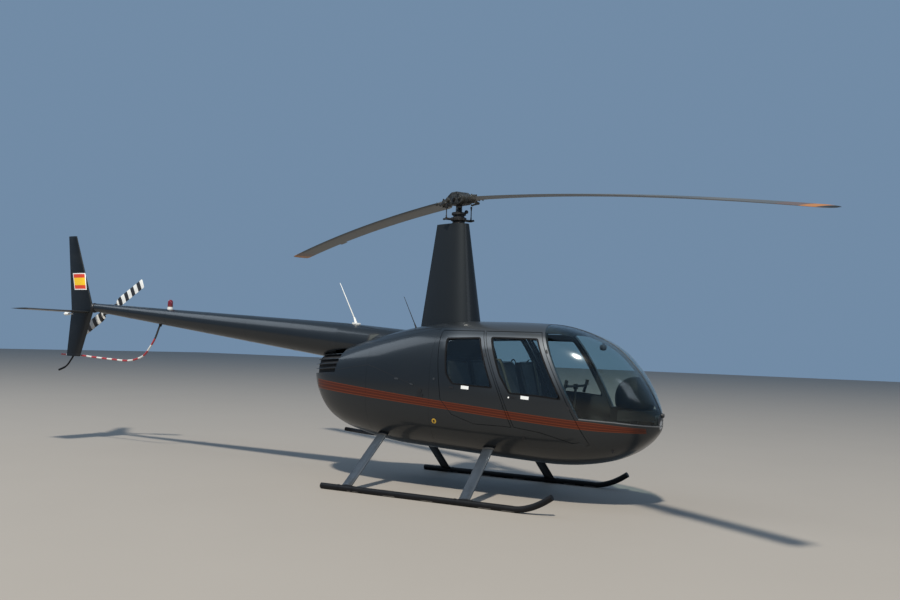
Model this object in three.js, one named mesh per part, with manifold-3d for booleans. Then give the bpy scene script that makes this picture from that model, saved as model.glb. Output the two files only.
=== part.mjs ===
// A light four-seat helicopter with a two-blade teetering rotor, parked on its skids.
// Millimetres. X points to the nose, Y to the left, Z up, and the ground is at Z = 0.
// Inside the airframe group, X is counted from the rotor mast.
import * as THREE from "three";
import { mergeVertices } from "three/addons/utils/BufferGeometryUtils.js";
import Module from "manifold-3d";

const wasm = await Module();
wasm.setup();

// Driving dimensions
const MAST_X = 1123; // mast ahead of the middle of the aircraft's box
const GAP = 0.4; // between pieces that touch
const SWING = 6; // round a piece that moves
const WALL = 40; // cabin wall and door
const COWL = 25; // engine cowl
const GLASS = { depth: 4, thick: 6 };

// Heights of the teeter bolt and the fairing's top, and the first blade's direction, hanging down
const ROTOR = { height: 3215, base: 2941, turn: -30.7, teeter: 1.9 };
const HUB = { half: 75, bolt: 17 }; // half length along the teeter bolt, radius of the bolt
const BLADE = { root: 193, grip: 330, start: 340, tip: 5029, chord: 254, thick: 24 };
const DROOP = { slope: 0.042, bend: 1.06e-5 }; // fall of a blade at rest, per mm and per mm squared
const PITCHES = [[0.5, 6.5], [5.5, 2.5]]; // degrees, leading edge up, of each blade's root and tip
const TAIL_HUB = { x: -5893, y: 280, z: 1935 };
const TAIL_BLADE = { root: 90, tip: 737, chord: 139, thick: 14, turn: 31 };
const SKID = { y: 1078, radius: 31, rear: -965, front: 1330, toe: 1690, rise: 150 };
const BULKHEAD = { x: 60, thick: 25 }; // rear wall of the cabin
const SILL_Z = 570; // joint of the tub and the cabin frame
const HINGE_Y = 655; // door hinge lines, just outside the widest skin
// How far door posts lean back: by the windshield, and between the doors
const LEAN = {
  front: Math.tan(THREE.MathUtils.degToRad(27.5)),
  rear: Math.tan(THREE.MathUtils.degToRad(24)),
};

// Fuselage sections: x, bottom, top, half width, height of the widest line.
const HULL = [
  [2390, 800, 950, 45, 870],
  [2345, 727, 1052, 160, 900],
  [2260, 637, 1212, 283, 925],
  [2128, 542, 1399, 398, 940],
  [1927, 453, 1595, 507, 950],
  [1657, 395, 1729, 598, 970],
  [1357, 371, 1812, 632, 990],
  [1004, 381, 1836, 643, 1000],
  [601, 397, 1841, 641, 1000],
  [200, 416, 1837, 641, 1020],
  [-200, 435, 1798, 630, 1040],
  [-600, 460, 1719, 600, 1060],
  [-997, 526, 1612, 543, 1100],
  [-1301, 606, 1518, 475, 1140],
  [-1523, 720, 1466, 391, 1180],
  [-1679, 900, 1430, 290, 1200],
  [-1786, 1068, 1366, 165, 1220],
  [-1816, 1190, 1260, 55, 1225],
];
const HULL_ROUND = { points: 32, top: 2.9, bottom: 2.6 }; // superellipse powers of the sections
const HULL_CORE = { middle: [270, 0, 1120], reach: [2120, 643, 735] };

// Tail cone: x of its ends, and the top and bottom lines as height at the joint and rise per mm aft.
const CONE = { joint: -1500, end: -5860, wall: 12, top: [1797, 0.0475], bottom: [1354, 0.122] };
const FAIRING = { front: -470, top: [1797, 0.0768], bottom: [1354, 0.06] }; // ahead of the joint

const COLOURS = {
  body: [0x2b2f33, 0.35, 0.5],
  glass: [0xa9c0c4, 0.1, 0.0],
  dark: [0x191a1c, 0.6, 0.2],
  seat: [0x2a2725, 0.8, 0.0],
  inside: [0x3a3b3d, 0.8, 0.0],
  metal: [0x8c9095, 0.4, 0.8],
  blade: [0x4c5156, 0.5, 0.4],
  red: [0xa0141a, 0.3, 0.0],
  white: [0xe8e8e4, 0.5, 0.0],
};

// Tools for solids

// A closed geometry as a solid that can be cut and joined.
function solid(geometry) {
  const bare = geometry.clone();
  bare.deleteAttribute("normal");
  bare.deleteAttribute("uv");
  const merged = mergeVertices(bare, 1e-3);
  return new wasm.Manifold(
    new wasm.Mesh({
      numProp: 3,
      vertProperties: merged.attributes.position.array,
      triVerts: new Uint32Array(merged.index.array),
    }),
  );
}

function geometryOf(body) {
  const mesh = body.getMesh();
  return new THREE.BufferGeometry()
    .setAttribute("position", new THREE.BufferAttribute(mesh.vertProperties, 3))
    .setIndex(new THREE.BufferAttribute(mesh.triVerts, 1));
}

const joined = (...bodies) => bodies.reduce((a, b) => a.add(b));

// The largest of the bodies that a cut leaves.
const largest = (body) => body.decompose().reduce((a, b) => (a.volume() > b.volume() ? a : b));

function piece(group, name, body, colour) {
  const [color, roughness, metalness] = COLOURS[colour];
  const material = new THREE.MeshStandardMaterial({ color, roughness, metalness });
  const mesh = new THREE.Mesh(geometryOf(largest(body)), material);
  mesh.name = name;
  group.add(mesh);
}

// A closed body through rings of equal numbers of points.
function loft(rings) {
  const count = rings[0].length;
  const points = rings.flat();
  const faces = [];
  for (let i = 0; i + 1 < rings.length; i++)
    for (let j = 0; j < count; j++) {
      const a = i * count + j;
      const b = i * count + ((j + 1) % count);
      faces.push([a, b, a + count], [b, b + count, a + count]);
    }
  for (const last of [false, true]) {
    const first = last ? (rings.length - 1) * count : 0;
    const middle = new THREE.Vector3();
    points.slice(first, first + count).forEach((p) => middle.addScaledVector(p, 1 / count));
    for (let j = 0; j < count; j++) {
      const edge = [first + j, first + ((j + 1) % count)];
      if (!last) edge.reverse();
      faces.push([rings.length * count + Number(last), ...edge]);
    }
    points.push(middle);
  }
  const volume = faces.reduce((sum, face) => {
    const [a, b, c] = face.map((k) => points[k]);
    return sum + a.dot(b.clone().cross(c));
  }, 0);
  if (volume < 0) faces.forEach((face) => face.reverse());
  return solid(new THREE.BufferGeometry().setFromPoints(points).setIndex(faces.flat()));
}

function block(low, high) {
  const size = high.map((h, i) => h - low[i]);
  const middle = high.map((h, i) => (h + low[i]) / 2);
  return solid(new THREE.BoxGeometry(...size).translate(...middle));
}

// A round bar between two points. A number after the radius is the radius of its far end.
function bar(from, to, radius, endRadius = radius, sides = 16) {
  const [a, b] = [new THREE.Vector3(...from), new THREE.Vector3(...to)];
  const along = b.clone().sub(a);
  const turn = new THREE.Quaternion();
  turn.setFromUnitVectors(new THREE.Vector3(0, 1, 0), along.clone().normalize());
  const shape = new THREE.CylinderGeometry(endRadius, radius, along.length(), sides);
  return solid(shape.applyQuaternion(turn).translate(...a.lerp(b, 0.5).toArray()));
}

// A round tube without a bore, along a smooth curve through points.
function tube(points, radius, steps, sides = 12) {
  const route = new THREE.CatmullRomCurve3(points.map((p) => new THREE.Vector3(...p)));
  const section = new THREE.Shape();
  for (let i = 0; i < sides; i++) {
    const turn = (2 * Math.PI * (i + 0.5)) / sides;
    const [x, y] = [radius * Math.cos(turn), radius * Math.sin(turn)];
    if (i) section.lineTo(x, y);
    else section.moveTo(x, y);
  }
  return solid(new THREE.ExtrudeGeometry(section, { steps, extrudePath: route }));
}

// An outline of x and z in the side view, pulled out along Y.
function slab(outline, yLow, yHigh) {
  const shape = new THREE.Shape(outline.map(([x, z]) => new THREE.Vector2(x, z)));
  const pulled = new THREE.ExtrudeGeometry(shape, { depth: yHigh - yLow, bevelEnabled: false });
  return solid(pulled.rotateX(Math.PI / 2).translate(0, yHigh, 0));
}

// The same outline with its corners rounded.
function rounded(outline, radius, steps = 3) {
  return outline.flatMap((corner, i) => {
    const at = new THREE.Vector2(...corner);
    const ends = [outline.at(i - 1), outline[(i + 1) % outline.length]].map((near) => {
      const way = new THREE.Vector2(...near).sub(at);
      return at.clone().addScaledVector(way, Math.min(radius / way.length(), 0.45));
    });
    const curve = new THREE.QuadraticBezierCurve(ends[0], at, ends[1]);
    return curve.getPoints(steps).map((p) => [p.x, p.y]);
  });
}

// An outline moved outwards, or inwards with a negative distance.
function grown(outline, distance) {
  const next = (i) => outline[(i + 1) % outline.length];
  const area = outline.reduce((sum, [x, z], i) => sum + x * next(i)[1] - next(i)[0] * z, 0);
  const edges = outline.map(([x, z], i) => {
    const way = new THREE.Vector2(next(i)[0] - x, next(i)[1] - z).normalize();
    const out = new THREE.Vector2(way.y, -way.x).multiplyScalar(Math.sign(area) * distance);
    return { at: out.add(new THREE.Vector2(x, z)), way };
  });
  return edges.map((edge, i) => {
    const last = edges.at(i - 1);
    const turn = last.way.cross(edge.way);
    if (Math.abs(turn) < 1e-4) return edge.at.toArray();
    const t = edge.at.clone().sub(last.at).cross(edge.way) / turn;
    return last.at.clone().addScaledVector(last.way, t).toArray();
  });
}

// A symmetric aerofoil: points of chord position, from 0 at the front to 1 at the back, and side.
function aerofoil(thickness, points = 16) {
  return Array.from({ length: points }, (_, i) => {
    const turn = (2 * Math.PI * (i + 0.5)) / points;
    const c = (1 - Math.cos(turn)) / 2;
    const bow = 0.2969 * Math.sqrt(c) - 0.126 * c - 0.3516 * c ** 2 + 0.2843 * c ** 3;
    return [c, Math.sign(Math.sin(turn)) * 5 * thickness * (bow - 0.0996 * c ** 4)];
  });
}

// A body with aerofoil sections. Each row is a front point, a back point and a thickness, and the
// sections' thickness lies along the given direction.
function wing(rows, direction, points = 16) {
  const side = new THREE.Vector3(...direction);
  const rings = rows.map(([front, back, thick]) => {
    const [a, b] = [new THREE.Vector3(...front), new THREE.Vector3(...back)];
    return aerofoil(thick / a.distanceTo(b), points).map(([c, s]) =>
      a.clone().lerp(b, c).addScaledVector(side, s * a.distanceTo(b)),
    );
  });
  return loft(rings);
}

// Fuselage shapes

function hullRing([x, bottom, top, half, widest]) {
  return Array.from({ length: HULL_ROUND.points }, (_, i) => {
    const turn = (2 * Math.PI * (i + 0.5)) / HULL_ROUND.points;
    const [c, s] = [Math.cos(turn), Math.sin(turn)];
    const power = 2 / (s > 0 ? HULL_ROUND.top : HULL_ROUND.bottom);
    const y = Math.sign(c) * Math.abs(c) ** power * half;
    const reach = s > 0 ? top - widest : bottom - widest;
    return new THREE.Vector3(x, y, widest + Math.abs(s) ** power * reach);
  });
}

// The fuselage's outer shape, with its skin moved in by a depth.
function hull(depth) {
  const middle = new THREE.Vector3(...HULL_CORE.middle);
  const shrink = new THREE.Vector3(...HULL_CORE.reach.map((reach) => 1 - depth / reach));
  return loft(
    HULL.map((section) =>
      hullRing(section).map((p) => p.sub(middle).multiply(shrink).add(middle)),
    ),
  );
}

// Half the fuselage's width at a place in the side view.
function halfWidth(x, z) {
  const i = Math.max(1, HULL.findIndex(([station]) => station <= x));
  const [a, b] = [HULL[i - 1], HULL[i]];
  const t = (x - a[0]) / (b[0] - a[0]);
  const [bottom, top, half, widest] = [1, 2, 3, 4].map((k) => a[k] + (b[k] - a[k]) * t);
  const u = z > widest ? (z - widest) / (top - widest) : (widest - z) / (widest - bottom);
  const power = z > widest ? HULL_ROUND.top : HULL_ROUND.bottom;
  return half * (1 - Math.min(1, u) ** power) ** (1 / power);
}

function coneRing(x, inset, sides = 24) {
  const line = x > CONE.joint ? FAIRING : CONE;
  const [top, bottom] = [line.top, line.bottom].map(([z, rise]) => z + rise * (CONE.joint - x));
  const radius = (top - bottom) / 2 - inset;
  return Array.from({ length: sides }, (_, i) => {
    const turn = (2 * Math.PI * (i + 0.5)) / sides;
    const z = (top + bottom) / 2 + Math.sin(turn) * radius;
    return new THREE.Vector3(x, Math.cos(turn) * radius, z);
  });
}

const cone = (from, to, inset) => loft([from, to].map((x) => coneRing(x, inset)));

// Doors

// The x of a line that leans with the door posts, from its x at a fixed height.
const POST = { z: 1300, windshield: 1506, frontHinge: 1474, middle: 805, half: 15 };
const leaning = (x, z, lean) => x - lean * (z - POST.z);

// Outlines in the side view, from the top of the rear edge down and forward. The front edge of a
// door is its hinge line.
const DOORS = {
  front: {
    hinge: POST.frontHinge,
    lean: LEAN.front,
    top: 1725,
    bottom: 640,
    edge: [
      ...[1725, 766].map((z) => [leaning(POST.middle + POST.half, z, LEAN.rear), z]),
      [1130, 756],
      [1340, 730],
      [1590, 665],
      [1660, 643],
      [1730, 655],
    ],
    window: [[712, 1668], [1238, 1664], [1560, 1062], [1290, 1085], [1000, 1096], [880, 1275]],
  },
  rear: {
    hinge: POST.middle - POST.half,
    lean: LEAN.rear,
    top: 1725,
    bottom: 765,
    edge: [[110, 1700], [205, 1000], [340, 850], [600, 768]],
    window: [[193, 1646], [592, 1662], [812, 1142], [560, 1152], [335, 1163], [255, 1265]],
  },
};

// The room that a door sweeps round its hinge line, which starts behind the front edge. Each point
// of the outline sets the radius that its place on the curved skin has about the hinge line.
function doorRoom(door, side, grow, front) {
  const low = new THREE.Vector3(leaning(door.hinge, 0, door.lean), side * HINGE_Y, 0);
  const up = new THREE.Vector3(-door.lean, 0, 1).normalize();
  const back = new THREE.Vector3(-up.z, 0, up.x);
  const frame = new THREE.Matrix4().makeBasis(back, up, back.clone().cross(up)).setPosition(low);
  const corner = [leaning(door.hinge, door.bottom, door.lean), door.bottom];
  const outline = [...door.edge, corner];
  const route = outline.slice(0, -1).flatMap(([x, z], i) => {
    const [nextX, nextZ] = outline[i + 1];
    const parts = Math.ceil(Math.hypot(nextX - x, nextZ - z) / 200);
    return Array.from({ length: parts }, (_, k) => [
      x + ((nextX - x) * k) / parts,
      z + ((nextZ - z) * k) / parts,
    ]);
  });
  const swept = [...route, outline.at(-1)].map(([x, z]) => {
    const place = new THREE.Vector3(x - low.x, 0, z);
    return [Math.hypot(place.dot(back), HINGE_Y - halfWidth(x, z)), place.dot(up)];
  });
  const above = swept[0][1] + 1000;
  const profile = [[0, above], [swept[0][0], above], ...swept, [0, swept.at(-1)[1]]];
  const points = grown(profile, grow).map(([r, h]) => new THREE.Vector2(Math.max(0, r), h));
  const room = solid(new THREE.LatheGeometry(points.reverse(), 48).applyMatrix4(frame));
  const behind = solid(
    new THREE.BoxGeometry(3000, 6000, 3000).translate(1500 + front, 0, 0).applyMatrix4(frame),
  );
  const half = block([-3000, side > 0 ? 0 : -900, 0], [3000, side > 0 ? 900 : 0, door.top + grow]);
  return room.intersect(behind).intersect(half);
}

const LAMP = { x: 2200, z: 845, radius: 60 }; // landing lamp in the nose
const pitotBar = (grow) =>
  bar([2366 - grow, 0, 936], [2412 + grow, 0, 936], 25 + grow, 20 + grow, 16);

const SIDES = [["right", -1], ["left", 1]];
const aircraft = new THREE.Group();
const airframe = new THREE.Group();
airframe.position.set(MAST_X, 0, 0);
aircraft.add(airframe);

function addCabin() {
  const shell = hull(0).subtract(hull(WALL));
  const glass = hull(GLASS.depth).subtract(hull(GLASS.depth + GLASS.thick));
  const sill = [SILL_Z - GAP / 2, SILL_Z + GAP / 2];
  const tub = shell.intersect(block([BULKHEAD.x, -900, 0], [2500, 900, sill[0]]));
  let frame = shell.intersect(block([BULKHEAD.x, -900, sill[1]], [2500, 900, 2500]));
  piece(airframe, "cabin_tub", tub, "body");

  const post = (z) => [leaning(POST.windshield, z, LEAN.front), z]; // rear edge of the windshield
  const [corner, tip] = [post(892), [2450, 829]]; // ends of its lower edge
  const windshield = [post(1900), corner, tip, [2450, 1900]];
  const nose = [corner, post(500), [2500, 500], tip];
  // The nose panel rises between the panes, round the landing lamp.
  const rise = (grow) =>
    bar([2100, 0, 885], [2600, 0, 885], 80 + grow, 80 + grow, 32).add(
      block([2100, -80 - grow, 700], [2600, 80 + grow, 885]),
    );
  for (const [name, side] of SIDES) {
    const [low, high] = side > 0 ? [14, 900] : [-900, -14];
    frame = frame.subtract(slab(windshield, low, high).subtract(rise(0)));
    const pane = slab(grown(windshield, -GAP), low + GAP, high - GAP).subtract(rise(GAP));
    piece(airframe, `windshield_${name}`, glass.intersect(pane), "glass");
    for (const [place, door] of Object.entries(DOORS)) {
      const room = doorRoom(door, side, 0, SWING / 2);
      frame = frame.subtract(doorRoom(door, side, SWING, -SWING / 2));
      const window = rounded(door.window, 45);
      const [near, far] = side > 0 ? [0, 900] : [-900, 0];
      const leaf = shell.intersect(room).subtract(slab(window, near, far));
      piece(airframe, `door_${place}_${name}`, leaf, "body");
      const light = glass.intersect(slab(grown(window, -GAP), near, far));
      piece(airframe, `window_${place}_${name}`, light, "glass");
    }
  }
  const posts = frame.subtract(slab(nose, -900, 900)).subtract(rise(GAP));
  piece(airframe, "cabin_frame", posts, "body");
  const { x, z, radius } = LAMP;
  const hole = (grow) => bar([x, 0, z], [x + 300, 0, z], radius + grow, radius + grow, 24);
  const panel = frame.intersect(slab(grown(nose, -GAP), -900, 900).add(rise(0)));
  piece(airframe, "nose_panel", panel.subtract(hole(GAP)).subtract(pitotBar(GAP)), "body");
  const lens = hull(0).subtract(hull(8)).intersect(hole(0)).subtract(pitotBar(GAP));
  piece(airframe, "landing_lens", lens, "glass");
  const lamp = hull(8 + GAP).subtract(hull(WALL)).intersect(hole(0)).subtract(pitotBar(GAP));
  piece(airframe, "landing_lamp", lamp, "metal");
  piece(airframe, "pitot_tube", pitotBar(0), "dark");

  const inside = hull(WALL + GAP);
  const wall = block([BULKHEAD.x, -900, 0], [BULKHEAD.x + BULKHEAD.thick, 900, 2500]);
  piece(airframe, "rear_bulkhead", inside.intersect(wall), "inside");
  const start = BULKHEAD.x + BULKHEAD.thick + GAP;
  const boxes = [[800, 1290, -545, -55], [800, 1290, 55, 545], [start, 640, -545, 545]];
  const skin = 20; // of the seat boxes, which are open below
  const floor = joined(
    block([start, -900, 535], [2130, 900, 560]),
    ...boxes.map(([from, to, low, high]) => block([from, low, 550], [to, high, 840])),
    ...[-285, 285].map((y) => block([1350, y - 125, 550], [1740, y + 125, 567])), // foot mats
  );
  const rooms = boxes.map(([from, to, low, high]) =>
    block([from + skin, low + skin, 0], [to - skin, high - skin, 840 - skin]),
  );
  const open = floor.subtract(joined(...rooms));
  piece(airframe, "cabin_floor", hull(WALL + SWING).intersect(open), "inside");
}

// A seat: x of the cushion's back and front, and of the top of the backrest.
function seat(from, to, topX, yLow, yHigh) {
  const cushion = { z: 845, high: 950 };
  const back = { thick: 110, top: 1425 };
  const outline = [
    [from, cushion.z],
    [to, cushion.z],
    [to, cushion.high - 15],
    [to - 30, cushion.high],
    [from + back.thick + 20, cushion.high - 10],
    [topX + back.thick - 20, back.top],
    [topX, back.top],
    [from - 10, cushion.high],
  ];
  return slab(outline, yLow, yHigh);
}

function addSeats() {
  const room = hull(WALL + 30);
  piece(airframe, "seat_front_right", seat(800, 1310, 690, -500, -60).intersect(room), "seat");
  piece(airframe, "seat_front_left", seat(800, 1310, 690, 60, 500).intersect(room), "seat");
  const rear = seat(180, 660, 110, -520, 520).subtract(block([280, -20, 900], [1000, 20, 2000]));
  piece(airframe, "seats_rear", rear.intersect(room), "seat");
}

function addControls() {
  const dome = new THREE.SphereGeometry(1, 16, 8).scale(205, 250, 210).translate(2112, 0, 1100);
  const console = joined(
    block([1890, -130, 560 + GAP], [2110, 130, 1000]),
    solid(dome).intersect(block([1900, -400, 980], [2400, 400, 1350])),
  );
  piece(airframe, "instrument_console", console.intersect(hull(WALL + SWING)), "dark");
  const stick = joined(
    bar([1440, 0, 560 + GAP], [1440, 0, 640], 30, 30, 10),
    bar([1440, 0, 630], [1465, 0, 1195], 17, 17, 8),
    bar([1465, -290, 1185], [1465, 290, 1185], 14, 14, 8),
    ...[-290, 290].map((y) => bar([1485, y, 1250], [1445, y, 1120], 17, 17, 8)),
  );
  piece(airframe, "cyclic_stick", stick, "dark");
}

// The seam between the top cowl and the cowls below it, in the side view.
const SEAM = [[130, 1760], [-204, 1692], [-598, 1605], [-906, 1553], [-1700, 1440]];
const COWL_JOINT = -790; // between the side cowls and the aft cowl
const BELLY = { half: 260, from: -690, to: -150, open: 200 };

function addCowls() {
  const outer = hull(0).add(cone(FAIRING.front, CONE.joint, 0));
  const inner = hull(COWL).add(cone(FAIRING.front - COWL, CONE.joint - COWL, COWL));
  const behind = block([-2000, -900, 0], [BULKHEAD.x - GAP, 900, 2500]);
  const tailRoom = cone(CONE.joint, CONE.joint - 500, -3 * GAP);
  const shell = outer.subtract(inner).intersect(behind).subtract(tailRoom);
  const above = slab([...SEAM, [-1700, 2500], [130, 2500]], -900, 900);
  const lowered = SEAM.map(([x, z]) => [x, z - GAP]);
  const below = slab([...lowered, [-2000, 1440], [-2000, 0], [130, 0]], -900, 900);
  piece(airframe, "top_cowl", shell.intersect(above), "body");

  const louvres = [0, 1, 2, 3, 4].map((i) => {
    const z = 1190 + i * 54;
    const front = -1290 + i * 14;
    return slab([[front, z + 32], [front, z + 70], [-1720, z + 36], [-1720, z - 2]], -900, 900);
  });
  const spine = block([-2000, -70, 0], [0, 70, 2000]);
  const slots = joined(...louvres).subtract(spine);
  const aft = block([-2000, -900, 0], [COWL_JOINT - GAP, 900, 2500]);
  piece(airframe, "aft_cowl", shell.intersect(below).intersect(aft).subtract(slots), "body");

  const sides = shell.intersect(below).subtract(block([-2000, -900, 0], [COWL_JOINT, 900, 2500]));
  const belly = block([-2000, -BELLY.half, 0], [2000, BELLY.half, 900]);
  const opening = block([BELLY.from, -BELLY.open, 0], [BELLY.to, BELLY.open, 900]);
  piece(airframe, "belly_panel", sides.intersect(belly).subtract(opening), "body");
  for (const [name, side] of SIDES) {
    const edge = BELLY.half + GAP;
    const half = side > 0 ? [edge, 900] : [-900, -edge];
    const low = block([-2000, half[0], 0], [2000, half[1], 900]);
    const high = block([-2000, side > 0 ? 0 : -900, 890], [2000, side > 0 ? 900 : 0, 2500]);
    piece(airframe, `side_cowl_${name}`, sides.intersect(low.add(high)), "body");
  }

  piece(airframe, "engine_block", block([-760, -290, 600], [-120, 290, 1060]), "dark");
  const route = [[-560, 150, 560], [-800, 170, 518], [-1150, 190, 490], [-1586, 200, 514]];
  const pipe = tube(route, 24, 10, 10);
  const clear = block([-2000, -900, 0], [2000, 900, 600 - GAP]);
  piece(airframe, "exhaust_pipe", pipe.intersect(clear).subtract(hull(-GAP)), "metal");
}

function addMastFairing() {
  const shape = (inset) =>
    wing(
      [
        [[320 - inset, 0, 1650 - inset / 2], [-460 + inset, 0, 1650 - inset / 2], 450 - 2 * inset],
        [[127 - inset, 0, ROTOR.base - inset], [-276 + inset, 0, ROTOR.base - inset], 165 - 2 * inset],
      ],
      [0, 1, 0],
      28,
    );
  piece(airframe, "mast_fairing", shape(0).subtract(shape(20)).subtract(hull(-1)), "body");
}

function addRotor() {
  const turned = new THREE.Group();
  turned.position.set(0, 0, ROTOR.height);
  turned.rotation.z = THREE.MathUtils.degToRad(ROTOR.turn);
  airframe.add(turned);

  const low = ROTOR.base + GAP - ROTOR.height; // top of the fairing, below the hub's bolt
  const shaft = 36.5;
  const fixed = bar([0, 0, low], [0, 0, low + 28], 78, 74, 24)
    .subtract(bar([0, 0, low - 10], [0, 0, low + 50], shaft + SWING, shaft + SWING, 24));
  piece(turned, "swashplate_fixed", fixed, "dark");
  const nuts = [-1, 1].map((side) =>
    bar([0, side * (HUB.half + 1), 0], [0, side * (HUB.half + 17), 0], 27, 27, 6),
  );
  const mast = joined(
    bar([0, 0, low], [0, 0, -70], shaft, shaft, 20),
    bar([0, 0, -71], [0, 0, 18], 30, 30, 20),
    bar([0, -HUB.half - 2, 0], [0, HUB.half + 2, 0], HUB.bolt, HUB.bolt, 12),
    ...nuts,
  );
  piece(turned, "rotor_mast", mast, "metal");
  const link = (side) =>
    joined(
      bar([side * 60, side * 162, low + 46], [0, side * 162, low + 46], 12, 12, 8),
      bar([0, side * 162, low + 42], [0, side * 162, -66], 9, 9, 8),
    );
  const ball = new THREE.SphereGeometry(22, 12, 8).translate(42, 74, low + 139);
  const plate = bar([0, 0, low + 28 + SWING], [0, 0, low + 69], 88, 84, 24)
    .add(bar([0, -165, low + 46], [0, 165, low + 46], 14, 14, 8))
    .add(bar([0, 0, low + 68], [0, 0, low + 98], 64, 64, 20))
    .add(bar([0, 0, low + 97], [0, 0, low + 128], 82, 78, 24))
    .add(bar([26, 45, low + 120], [42, 74, low + 139], 11, 11, 8))
    .add(solid(ball))
    .subtract(bar([0, 0, low], [0, 0, low + 200], shaft + GAP, shaft + GAP, 20));
  piece(turned, "swashplate_turning", joined(plate, link(1), link(-1)), "dark");

  const hub = new THREE.Group();
  hub.rotation.y = THREE.MathUtils.degToRad(ROTOR.teeter);
  turned.add(hub);
  const front = [[110, -60], [190, -38], [190, 22], [110, 62], [60, 85]];
  const outline = [...front, ...front.toReversed().map(([x, z]) => [-x, z])];
  const yoke = slab(rounded(outline, 12), -HUB.half, HUB.half)
    .subtract(block([-50, -42, -100], [50, 42, 34]))
    .subtract(bar([0, -150, 0], [0, 150, 0], HUB.bolt + 1, HUB.bolt + 1, 12));
  piece(hub, "rotor_hub", yoke, "dark");
  PITCHES.forEach((pitch, i) => {
    const arm = new THREE.Group();
    arm.rotation.z = i * Math.PI;
    hub.add(arm);
    piece(arm, `rotor_blade_${i + 1}`, blade(pitch), "blade");
  });
}

// A main blade along +X, leading edge to +Y, hanging under its own weight.
function blade([rootPitch, tipPitch]) {
  const height = (r) => -DROOP.slope * r - DROOP.bend * r ** 2;
  const section = (r, chord, thick) => {
    const pitch = THREE.MathUtils.lerp(rootPitch, tipPitch, r / BLADE.tip);
    const turn = THREE.MathUtils.degToRad(pitch);
    const [c, s] = [Math.cos(turn), Math.sin(turn)];
    const [front, back] = [0.3 * chord, -0.7 * chord];
    const z = height(r);
    return [[r, front * c, z + front * s], [r, back * c, z + back * s], thick];
  };
  const spans = [0, 0.03, 0.25, 0.45, 0.65, 0.85, 0.97, 1];
  const rows = spans.map((t) => {
    const r = BLADE.start + (BLADE.tip - BLADE.start) * t;
    const chord = BLADE.chord * (t === 0 || t === 1 ? 0.7 : 1);
    return section(r, chord, BLADE.thick * (t === 1 ? 0.5 : 1));
  });
  const skin = wing(rows, [0, 0, 1]);
  const grip = joined(
    bar([BLADE.root, 0, height(BLADE.root)], [BLADE.grip, 0, height(BLADE.grip)], 50, 46, 16),
    wing([section(BLADE.grip - 10, 130, 64), section(BLADE.grip + 140, 200, 26)], [0, 0, 1]),
  );
  const horn = joined(
    bar([250, 0, height(250)], [245, 105, -48], 16, 14, 8),
    bar([245, 105, -48], [20, 162, -45], 14, 11, 8),
  );
  return joined(skin, grip, horn);
}

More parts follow.
